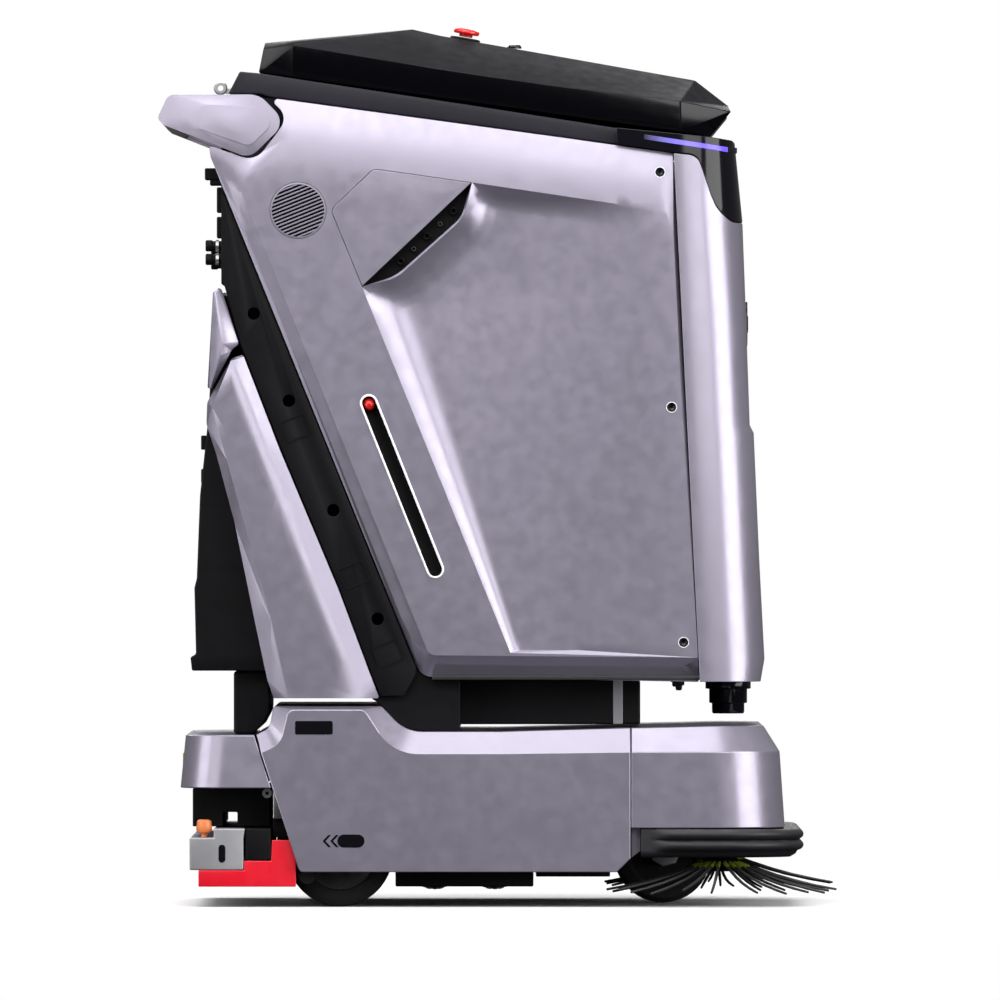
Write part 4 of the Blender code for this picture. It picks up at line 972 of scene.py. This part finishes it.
BASE_LOW, BASE_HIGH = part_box("base_shell")
BASE_HALF_WIDTH = BASE_HIGH.y
BASE_TOP_HALF = 0.2935
FRONT_FOOT_Y = (0.2915, 0.2950)
FRONT_FOOT_END = 0.1755
TOP_EDGE = (
    ((-0.3050, 0.2155), 0), ((-0.2880, 0.2240), 0.016), ((-0.2835, 0.2510), 0.004),
    ((-0.1480, 0.2510), 0.006), ((-0.1180, 0.2194), 0.052), ((0.0, 0.2194), 0.100),
    ((BASE_HIGH.x, 0.2240), 0),
)
SHOULDER_EDGE = (
    ((-0.2985, 0.1925), 0), ((-0.2740, 0.2040), 0.030), ((-0.2640, 0.2470), 0.010),
    ((-0.1700, 0.2470), 0.010), ((-0.1340, 0.1915), 0.068), ((0.0, 0.1915), 0.100),
    ((BASE_HIGH.x, 0.1935), 0),
)
BOTTOM_EDGE = (
    ((-0.2525, 0.0500), 0), ((-0.2490, 0.0440), 0.004), ((-0.2300, 0.0440), 0.010),
    ((-0.1700, 0.0440), 0.010), ((-0.1300, 0.0440), 0.010), ((0.1460, 0.0440), 0.002),
    ((BASE_HIGH.x, 0.0610), 0),
)


def edge_line(corners, steps=8):
    """A rounded line that has the same number of points whatever its corners are."""
    line = []
    points = [corner for corner, _ in corners]
    for i, (corner, radius) in enumerate(corners):
        if i in (0, len(corners) - 1):
            line.append(corner)
            continue
        bend = rounded(points[i - 1:i + 2], (0, radius, 0), closed=False, steps=steps)[1:-1]
        if len(bend) != steps + 1:
            bend = [(corner[0] + 0.0004 * (step - steps / 2), corner[1]) for step in range(steps + 1)]
        line += bend
    return line


def make_base_cover():
    """Both sides and the deck between them. The side leans in above a shoulder that follows the top edge."""
    lines = [edge_line(edge) for edge in (BOTTOM_EDGE, SHOULDER_EDGE, TOP_EDGE)]
    rows = []
    for bottom, shoulder, top in zip(*lines):
        high = BASE_TOP_HALF - 0.004 * smooth_step((top[1] - 0.225) / 0.02)
        right = [(bottom[0], -BASE_HALF_WIDTH, bottom[1]), (shoulder[0], -BASE_HALF_WIDTH, shoulder[1]),
                 (top[0], -high, top[1])]
        rows.append(right + [(x, -y, z) for x, y, z in reversed(right)])
    sheet("base_cover", rows, "paint", 0.0035, replaces=("base_shell",), bevel=0.0012, angle=40.0,
          crease=20.0)


def make_end_covers():
    """The front and rear covers of the base, which wrap round its ends."""
    start = BASE_HIGH.x + 0.001
    rows = []
    for z, nose, half, radius in (
        (0.0990, 0.3570, BASE_HALF_WIDTH, 0.085), (0.1940, 0.3505, BASE_HALF_WIDTH, 0.085),
        (0.2265, 0.3300, 0.2905, 0.068),
    ):
        rows.append([(x, y, z) for x, y in wrap_path(start, nose, half, radius, 18, (start + 0.05,))])
    rows[-1] = [(x, y, 0.2241 + 0.0024 * smooth_step((x - start) / 0.12)) for x, y, _ in rows[-1]]
    sheet("front_base_cover", rows, "paint", 0.0035, close_ends=(False, True), replaces=("front_shell",),
          bevel=0.0014, angle=24.0)
    for side, label in SIDES:
        # A foot inside the bumper, which hangs from a tab on the cover's wall.
        low, high = between_faces(side, *FRONT_FOOT_Y)
        foot = ((start, 0.0615), (FRONT_FOOT_END, 0.0700), (FRONT_FOOT_END, 0.1000), (start, 0.1000))
        prism("front_cover_foot_" + label, foot, "Y", low, high, "paint", bevel=0.0006)
        low, high = between_faces(side, FRONT_FOOT_Y[0], BASE_HALF_WIDTH - 0.0030)
        block("front_cover_tab_" + label, (start, low, 0.0995), (FRONT_FOOT_END, high, 0.1030), "paint",
              bevel=0.0006)
    rows = []
    for z, nose, half, start in (
        (0.1490, -0.4000, BASE_HALF_WIDTH, -0.2860), (0.2150, -0.3935, 0.3045, -0.3070),
    ):
        rows.append([(x, y, z) for x, y in wrap_path(start, nose, half, 0.060, 14)])
    sheet("rear_base_cover", rows, "paint", 0.0035, close_ends=(False, True), replaces=("rear_shell",),
          bevel=0.0014, angle=24.0)


def make_bumper():
    """A rubber bar with two round ridges, which start a little way from its ends."""
    path = wrap_path(0.176, 0.366, 0.309, 0.085, 20, [0.186, 0.196, 0.206, 0.216, 0.240, 0.262])
    ridges = ((0.0908, 0.0075), (0.0772, 0.0075))
    rows = []
    for i, (x, y) in enumerate(path):
        before, after = Vector(path[max(i - 1, 0)]), Vector(path[min(i + 1, len(path) - 1)])
        along = (after - before).normalized()
        swell = smooth_step((x - 0.196) / 0.014)
        ring = [(-0.012, 0.0972), (0.004, 0.0972)]
        for middle, radius in ridges:
            for step in range(9):
                angle = math.radians(80 - 20 * step)
                out = 0.0055 + swell * radius * 1.22 * math.cos(angle)
                ring.append((out, middle + radius * 0.93 * math.sin(angle)))
        ring += [(0.0045, 0.0660), (-0.002, 0.0622), (-0.012, 0.0622)]
        rows.append([(x + along.y * out, y - along.x * out, z) for out, z in ring])
    count = len(rows[0])
    vertices = [point for row in rows for point in row]
    last = (len(rows) - 1) * count
    faces = [tuple(range(count)), tuple(range(last, last + count))] + ring_faces(len(rows), count)
    mesh = new_mesh("bumper_rubber", vertices, faces)
    add_piece("bumper_rubber", mesh, "bumper", "bumper_bar", ("bumper",), bevel=0.0006, angle=50.0)


# The covers beside the spine.

UPPER_COVER = rounded(
    ((-0.3590, 0.7690), (-0.3500, 0.7770), (-0.3268, 0.7045), (-0.3355, 0.6970), (-0.3665, 0.6375)),
    (0.004, 0.004, 0.004, 0.010, 0.003),
)
UPPER_FIELD = (
    (-0.3590, 0.7690), (-0.3530, 0.7700), (-0.3480, 0.7045), (-0.3490, 0.6900), (-0.3640, 0.6430),
)
LOWER_COVER = rounded(
    ((-0.3215, 0.6908), (-0.3355, 0.6862), (-0.3662, 0.6312), (-0.3672, 0.6040), (-0.3550, 0.5670),
     (-0.3320, 0.4810), (-0.3070, 0.3590), (-0.2910, 0.2840), (-0.2830, 0.2610), (-0.1510, 0.2610),
     (-0.1610, 0.2870), (-0.2025, 0.3980), (-0.2760, 0.5730)),
    (0.003, 0.010, 0.014, 0.020, 0.060, 0.150, 0.150, 0.060, 0.002, 0.002, 0.040, 0.100, 0.100), steps=4,
)
LOWER_FIELD = (
    (-0.3365, 0.6830), (-0.3600, 0.6250), (-0.3420, 0.5600), (-0.2860, 0.3590), (-0.2645, 0.2612),
    (-0.1770, 0.2612), (-0.1950, 0.3050), (-0.2780, 0.5130),
)
COVER_FACE_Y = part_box("rear_cover_lower_left")[1].y
COVER_BACK_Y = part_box("rear_cover_lower_left")[0].y
COVER_FOLD_DEPTH = 0.0100
SPINE_COVERS = (("upper", UPPER_COVER, UPPER_FIELD), ("lower", LOWER_COVER, LOWER_FIELD))


def folded(outline, field, depth):
    """The depth of a face that is flat inside its field and slopes back from there to the outline."""
    edge = list(outline) + [outline[0]]
    inner = list(field) + [field[0]]

    def depth_at(x, z):
        if is_inside((x, z), field):
            return 0.0
        from_field = distance_to((x, z), inner)
        return depth * from_field / max(from_field + distance_to((x, z), edge), 1e-6)

    return depth_at


def make_spine_covers():
    for side, label in SIDES:
        for name, outline, field in SPINE_COVERS:
            depth_at = folded(outline, field, COVER_FOLD_DEPTH)
            line = list(field) + [field[0]]
            relief(f"{name}_spine_cover_{label}", outline, [], [line], depth_at, COVER_FACE_Y, side, 0.016,
                   "paint", 0.003, rim_y=COVER_BACK_Y, replaces=(f"rear_cover_{name}_{label}",), bevel=0.0008,
                   angle=40.0)


def make_spine_details():
    """Blind pockets with a raised lip on the spine frames, between their holes."""
    for side, label in SIDES:
        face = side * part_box("spine_frame_left")[1].y
        for number, (x, z) in enumerate(((-0.2560, 0.5990), (-0.1825, 0.4155), (-0.1400, 0.3170))):
            along = Vector((math.sin(DOWN_FROM_VERTICAL), -math.cos(DOWN_FROM_VERTICAL)))
            across = Vector((along.y, -along.x))
            corners = []
            for a, b in ((-1, -1), (1, -1), (1, 1), (-1, 1)):
                corner = Vector((x, z)) + along * 0.0140 * a + across * 0.0170 * b
                corners.append(tuple(corner))
            rim = rounded(corners, 0.003)
            hole = inset(rim, 0.0016)
            rows = []
            for outline, out in ((rim, 0), (rim, 0.0016), (hole, 0.0016), (hole, 0.0003)):
                rows.append([(px, face + side * out, pz) for px, pz in outline + outline[:1]])
            add_piece(f"spine_pocket_{label}_{number + 1}", rows_mesh("pocket", rows), "black", angle=50.0)


# Brushes and wheels.

random.seed(12)
BRUSH_LOW, BRUSH_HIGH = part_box("side_brush_right")
BRUSH_RADIUS = (BRUSH_HIGH.x - BRUSH_LOW.x) / 2
BRUSH_CENTER_X = (BRUSH_HIGH.x + BRUSH_LOW.x) / 2
BRUSH_CENTER_Y = (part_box("side_brush_left")[0].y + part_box("side_brush_left")[1].y) / 2
TUFTS_PER_BRUSH = 20


def tube(points, radii, sides=6):
    """The points and faces of a closed tube along a line."""
    vertices = []
    for i, point in enumerate(points):
        before, after = Vector(points[max(i - 1, 0)]), Vector(points[min(i + 1, len(points) - 1)])
        along = (after - before).normalized()
        side = along.cross(Vector((0, 0, 1)) if abs(along.z) < 0.9 else Vector((1, 0, 0))).normalized()
        up = side.cross(along)
        for step in range(sides):
            angle = 2 * math.pi * step / sides
            vertices.append(Vector(point) + (side * math.cos(angle) + up * math.sin(angle)) * radii[i])
    last = (len(points) - 1) * sides
    faces = ring_faces(len(points), sides) + [tuple(range(sides)), tuple(range(last, last + sides))]
    return vertices, faces


def joined(parts):
    """Several (points, faces) as one."""
    vertices = []
    faces = []
    for some_vertices, some_faces in parts:
        first = len(vertices)
        vertices += some_vertices
        faces += [tuple(first + i for i in face) for face in some_faces]
    return vertices, faces


def make_side_brushes():
    """A black hub with single stiff bristles that fan out to the floor, each in a coloured root."""
    for side, label in SIDES:
        center = Vector((BRUSH_CENTER_X, side * BRUSH_CENTER_Y, 0))
        body = "side_rotor_" + label
        hub = (
            (0, 0.0440), (0.016, 0.0440), (0.022, 0.0500), (0.0235, 0.0580), (0.018, 0.0640),
            (0.012, 0.0660), (0.010, 0.0692), (0, 0.0692),
        )
        turned("side_brush_hub_" + label, hub, "Z", center, "black", body=body,
               replaces=("side_brush_" + label,), bevel=0.0008)
        bristles = []
        roots = []
        for number in range(TUFTS_PER_BRUSH):
            angle = 2 * math.pi * (number + random.uniform(-0.3, 0.3)) / TUFTS_PER_BRUSH
            reach = BRUSH_RADIUS * random.uniform(0.90, 0.985)
            tip_z = BRUSH_LOW.z + random.uniform(0.002, 0.009)
            sweep = random.uniform(-0.10, 0.10)
            line = []
            for step in range(6):
                share = step / 5
                radius = 0.020 + (reach - 0.020) * share
                turn = angle + sweep * share
                z = 0.0555 + (tip_z - 0.0555) * share - 0.004 * math.sin(math.pi * share)
                line.append(center + Vector((radius * math.cos(turn), radius * math.sin(turn), z)))
            bristles.append(tube(line, [0.0021, 0.0021, 0.0020, 0.0019, 0.0018, 0.0015], 8))
            root = [line[0], line[0].lerp(line[1], 0.65)]
            roots.append(tube(root, [0.0030, 0.0023], 8))
        for kind, parts, finish in (("bristles", bristles, "bristle"), ("roots", roots, "bristle_root")):
            name = f"side_brush_{kind}_{label}"
            add_piece(name, new_mesh(name, *joined(parts)), finish, body, angle=50.0)


def make_roller_brushes():
    """A core with rows of tufts, each row a little further round."""
    for which in ("front", "rear"):
        node = "roller_brush_" + which
        low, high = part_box(node)
        radius = (high.x - low.x) / 2
        center = Vector(((low.x + high.x) / 2, 0, (low.z + high.z) / 2))
        half = high.y - 0.004
        body = "roller_" + which
        core = (
            (0, -high.y), (0.010, -high.y), (0.010, -half), (0.024, -half), (0.024, half), (0.010, half),
            (0.010, high.y), (0, high.y),
        )
        turned(node + "_core", core, "Y", center, "battery", body=body, replaces=(node,), bevel=0.001)
        parts = []
        rows = 52
        for row in range(rows):
            y = -half + 0.006 + (2 * half - 0.012) * row / (rows - 1)
            for step in range(14):
                angle = 2 * math.pi * (step + 0.5 * (row % 2) + row / rows * 2) / 14
                out = Vector((math.cos(angle), 0, math.sin(angle)))
                lean = Vector((0, random.uniform(-0.001, 0.001), 0))
                tip = center + out * (radius - 0.0004) + lean + Vector((0, y, 0))
                parts.append(tube([center + out * 0.023 + Vector((0, y, 0)), tip], [0.0026, 0.0034], 6))
        name = node + "_tufts"
        add_piece(name, new_mesh(name, *joined(parts)), "roller_bristle", body, angle=50.0)


def make_drive_wheels():
    """Tyres with two grooves in the tread, and hubs with five bolts on each face."""
    for side, label in SIDES:
        low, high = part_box("drive_tyre_" + label)
        center = Vector(((low.x + high.x) / 2, (low.y + high.y) / 2, (low.z + high.z) / 2))
        radius, half = (high.x - low.x) / 2, (high.y - low.y) / 2
        inner = 0.0463
        body = "drive_wheel_" + label
        profile = [
            (inner, -half + 0.002), (inner + 0.003, -half + 0.0004), (radius - 0.0085, -half),
            (radius - 0.0055, -half + 0.0009), (radius - 0.0012, -half + 0.0030), (radius, -half + 0.006),
        ]
        for middle in (-0.0062, 0.0062):
            profile += [(radius, middle - 0.0016), (radius - 0.0028, middle - 0.0010)]
            profile += [(radius - 0.0028, middle + 0.0010), (radius, middle + 0.0016)]
        profile += [(r, -y) for r, y in reversed(profile[:6])]
        profile.append(profile[0])
        turned("tyre_" + label, profile, "Y", center, "tyre", steps=72, body=body,
               replaces=("drive_tyre_" + label,))
        bolts = []
        for number in range(5):
            angle = 2 * math.pi * number / 5
            for face in (-1, 1):
                spot = center + Vector((0.028 * math.cos(angle), 0, 0.028 * math.sin(angle)))
                start, end = face * (half - 0.0102), face * (half - 0.0060)
                bolt = ((0, start), (0.0042, start), (0.0042, end), (0, end))
                bolts.append(turned_parts(bolt, "Y", spot, 6))
        add_piece("wheel_bolts_" + label, new_mesh("bolts", *joined(bolts)), "dark_steel", body)


# Details at the rear.


def make_rear_details():
    """Latches and hose couplings on the rear panel, catches on the tank, and an eye behind the lid."""
    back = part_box("rear_panel")[0].x
    latches = ((0.9175, 0.0150, 0.021), (0.8850, 0.0320, 0.006), (0.8505, 0.0270, 0.006))
    for number, (z, height, depth) in enumerate(latches):
        for side, label in SIDES:
            y = side * 0.215
            block(f"rear_latch_{label}_{number + 1}", (back - depth, y - 0.016, z - height / 2),
                  (back + 0.001, y + 0.016, z + height / 2), "black", bevel=0.0018)
    for number, z in enumerate((0.8275, 0.8105)):
        for side, label in SIDES:
            center = (0, side * 0.235, z)
            coupling = (
                (0, -0.369), (0.0062, -0.369), (0.0072, -0.3675), (0.0072, -0.3610), (0.0060, -0.3600),
                (0.0060, -0.3480), (0, -0.3480),
            )
            turned(f"hose_coupling_{label}_{number + 1}", coupling, "X", center, "black", steps=32,
                   bevel=0.0005)
            ring = (
                (0.0060, -0.3565), (0.0076, -0.3560), (0.0076, -0.3525), (0.0060, -0.3520), (0.0060, -0.3565),
            )
            turned(f"coupling_ring_{label}_{number + 1}", ring, "X", center, "steel", steps=32)
    for number, z in enumerate((0.5810, 0.5390)):
        for side, label in SIDES:
            y = side * 0.205
            block(f"tank_catch_{label}_{number + 1}", (-0.3750, y - 0.010, z - 0.009),
                  (-0.3680, y + 0.010, z + 0.009), "black", bevel=0.0015)
    eye = ((0.0036, -0.2150), (0.0076, -0.2150), (0.0086, -0.2120), (0.0086, -0.2060), (0.0076, -0.2030),
           (0.0036, -0.2030), (0.0036, -0.2150))
    turned("lid_eye", eye, "Y", (-0.3505, 0, 1.0255), "steel", steps=32, bevel=0.0006)
    block("lid_eye_stem", (-0.3440, -0.2120, 1.0185), (-0.3330, -0.2060, 1.0260), "steel", bevel=0.0008)


SPINE_FOOT = (
    (-0.1600, 0.2600), (-0.1480, 0.2520), (-0.1340, 0.2348), (-0.1140, 0.2228), (-0.0960, 0.2200),
    (-0.0500, 0.2200), (-0.0500, 0.2835), (-0.0850, 0.3020), (-0.1450, 0.3020),
)
SPINE_FOOT_Y = (0.2620, 0.2660)
COLUMN_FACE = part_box("centre_column")[1].y


def make_gap_details():
    """What shows in the gap between base and body: the spine's foot, a skirt, a strip, a stud and a link."""
    for side, label in SIDES:
        low, high = between_faces(side, *SPINE_FOOT_Y)
        prism("spine_foot_" + label, SPINE_FOOT, "Y", low, high, "black", bevel=0.0008)
        block("chassis_skirt_" + label, (-0.2840, low, 0.0870), (-0.2560, high, 0.1120), "black",
              bevel=0.0008)
        low, high = between_faces(side, COLUMN_FACE - 0.001, COLUMN_FACE + 0.0012)
        block("column_strip_" + label, (0.1420, low, 0.2280), (0.1540, high, 0.2830), "bracket", bevel=0.0006)
        stud = (
            (0, 0.2705), (0.0030, 0.2705), (0.0042, 0.2730), (0.0042, 0.2760), (0.0070, 0.2775),
            (0.0070, 0.2838), (0, 0.2838),
        )
        turned("body_stud_" + label, stud, "Z", (0.2240, side * 0.240, 0), "black", steps=24)
        link = ((0.0022, 0.262), (0.0060, 0.262), (0.0060, 0.270), (0.0022, 0.270), (0.0022, 0.262))
        link = [(radius, side * y) for radius, y in link]
        turned("lift_link_" + label, link, "Y", (-0.2915, 0, 0.1420), "steel", steps=24)


MARK_HEIGHT = 0.0004
CHEVRON = ((0, 0), (0.0070, 0.0075), (0.0104, 0.0075), (0.0034, 0), (0.0104, -0.0075), (0.0070, -0.0075))


def make_mark(name, outline, face, **more):
    """A thin dark mark with nothing on it, on a right-hand face."""
    prism(name, outline, "Y", face - MARK_HEIGHT, face + 0.0002, "gloss_black", **more)


def make_marks():
    """A plate, two chevrons and a pill on the base, and a pill on the squeegee."""
    face = -BASE_HALF_WIDTH
    plate = rounded(((-0.2560, 0.2160), (-0.2090, 0.2160), (-0.2090, 0.2330), (-0.2560, 0.2330)), 0.0022)
    make_mark("plain_plate", plate, face, bevel=0.0001)
    for number, start in enumerate((-0.2215, -0.2120)):
        make_mark(f"chevron_mark_{number + 1}", [(start + x, 0.0830 + z) for x, z in CHEVRON], face)
    make_mark("pill_mark", slot_outline((-0.1950, 0.0830), (-0.1775, 0.0830), 0.0082), face, bevel=0.0001)
    pill = slot_outline((-0.3475, 0.0600), (-0.3475, 0.0740), 0.0042)
    make_mark("squeegee_mark", pill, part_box("squeegee_frame")[0].y, body="squeegee")


# Everything that keeps its CAD shape.

CARRIED_OVER = (
    # node, finish, width of its rounded edges
    ("battery_pack", "battery", 0.006), ("body_tray", "dark_steel", 0.0012), ("caster_fork", "steel", 0.0012),
    ("caster_wheel", "tyre", 0.0008), ("centre_column", "black", 0.003),
    ("charging_contact_plate", "brass", 0.0004), ("chassis_tray", "steel", 0.0015),
    ("clean_water_tank", "tank", 0.0030), ("control_box", "battery", 0.004), ("debris_bin", "black", 0.0012),
    ("drive_motor_left", "black", 0.003), ("drive_motor_right", "black", 0.003),
    ("lidar", "gloss_black", 0.0008), ("rear_column", "black", 0.004), ("rear_panel", "black", 0.0012),
    ("recovery_tank", "black", 0.0035), ("scrub_deck", "black", 0.002),
    ("side_brush_motor_left", "black", 0.002), ("side_brush_motor_right", "black", 0.002),
    ("spine_frame_left", "black", 0.0010), ("spine_frame_right", "black", 0.0010),
    ("squeegee_frame", "bracket", 0.002), ("squeegee_blade", "blade", 0.0010),
    ("squeegee_knob", "orange", 0.0004), ("squeegee_lift_bracket", "black", 0.0015),
    ("squeegee_roller_left", "tyre", 0.0008), ("squeegee_roller_right", "tyre", 0.0008),
    ("squeegee_suction_head", "black", 0.002), ("suction_motor", "black", 0.002),
    ("water_pump", "battery", 0.004), ("drive_hub_left", "hub", 0.0008), ("drive_hub_right", "hub", 0.0008),
)


def make_machine():
    for side, label in SIDES:
        make_side_panel(side, label)
    for make in (
        make_speaker, make_level_gauge, make_front_cover, make_window, make_handle, make_top, make_base_cover,
        make_end_covers, make_bumper, make_spine_covers, make_spine_details, make_side_brushes,
        make_roller_brushes, make_drive_wheels, make_rear_details, make_gap_details, make_marks,
    ):
        make()
    for node, finish, bevel in CARRIED_OVER:
        refine(node, finish, bevel)


make_machine()


# The studio.


def make_studio():
    floor = bpy.data.meshes.new("floor")
    corners = [(x * FLOOR_HALF, y * FLOOR_HALF, 0) for x, y in ((-1, -1), (1, -1), (1, 1), (-1, 1))]
    floor.from_pydata(corners, [], [(0, 1, 2, 3)])
    ground = bpy.data.objects.new("studio_floor", floor)
    bpy.context.scene.collection.objects.link(ground)
    floor.materials.append(make_floor_finish())
    ground.visible_glossy = False
    ground.visible_diffuse = False


def make_floor_finish():
    """A pale matt floor, which fades into the white studio a few metres from the machine."""
    material, tree, shader, where = new_material("pale_floor")
    patch = remap(tree, noise(tree, where, 3.0, 3.0), 0.3, 0.7)
    pale = mix_colors(tree, patch, (0.86, 0.86, 0.87, 1.0), (0.90, 0.90, 0.91, 1.0))
    tree.links.new(pale, shader.inputs["Base Color"])
    shader.inputs["Roughness"].default_value = 0.6
    far = add_node(tree, "VectorMath", {0: where}, operation="LENGTH").outputs["Value"]
    tree.links.new(remap(tree, far, FLOOR_FADE[0], FLOOR_FADE[1], 1.0, 0.0), shader.inputs["Alpha"])
    return material


def add_area_light(name, place, target, size, power):
    light = bpy.data.lights.new(name, "AREA")
    light.shape = "RECTANGLE"
    light.size, light.size_y = size
    light.energy = power
    obj = bpy.data.objects.new(name, light)
    bpy.context.scene.collection.objects.link(obj)
    obj.location = place
    obj.rotation_euler = (Vector(target) - Vector(place)).to_track_quat("-Z", "Y").to_euler()
    obj.visible_camera = False


def make_lights():
    add_area_light("overhead", (-0.3, -0.7, 3.0), (0, 0, 0.5), (3.0, 2.2), 80)
    add_area_light("high_left", (-1.15, -3.0, 1.95), (-0.1, -0.3, 0.8), (2.3, 1.3), 14)
    add_area_light("side_key", (1.25, -3.1, 1.40), (0.2, -0.3, 0.70), (1.1, 1.7), 22)
    add_area_light("key_right", (2.5, -1.6, 0.9), (0.2, 0, 0.50), (1.9, 2.2), 72)
    add_area_light("rear_left", (-3.2, -1.4, 1.2), (-0.2, 0, 0.5), (1.6, 2.2), 44)
    add_area_light("low_rear", (-2.1, -2.6, 0.35), (-0.3, -0.3, 0.6), (1.2, 1.0), 12)
    add_area_light("front_card", (-0.6, -3.0, 2.40), (-0.1, -0.3, 0.9), (3.0, 1.0), 46)
    add_area_light("far_side", (-0.5, 3.4, 2.4), (0, 0, 0.6), (3.0, 2.0), 80)
    world = bpy.data.worlds.new("studio")
    bpy.context.scene.world = world
    world.use_nodes = True
    tree = world.node_tree
    background = tree.nodes["Background"]
    direction = add_node(tree, "TexCoord").outputs["Generated"]
    up = add_node(tree, "SeparateXYZ", {0: direction}).outputs["Z"]
    ambient = remap(tree, up, -0.3, 0.9, 0.02, 0.42)
    seen = add_node(tree, "LightPath").outputs["Is Camera Ray"]
    strength = add_node(tree, "Mix", {0: seen, 2: ambient, 3: 1.0}, data_type="FLOAT")
    tree.links.new(strength.outputs[0], background.inputs["Strength"])
    background.inputs["Color"].default_value = (1.0, 1.0, 1.0, 1.0)


def make_camera():
    data = bpy.data.cameras.new("camera")
    data.lens = CAMERA_LENS
    data.sensor_width = CAMERA_SENSOR
    distance = CAMERA_WIDTH_SEEN * CAMERA_LENS / CAMERA_SENSOR
    camera = bpy.data.objects.new("camera", data)
    bpy.context.scene.collection.objects.link(camera)
    camera.location = (0.0, -SKIN_Y - distance, CAMERA_HEIGHT)
    camera.rotation_euler = (math.radians(90), 0, 0)
    data.clip_end = 100.0
    bpy.context.scene.camera = camera


make_studio()
make_lights()
make_camera()
bpy.context.scene.view_settings.view_transform = "Standard"
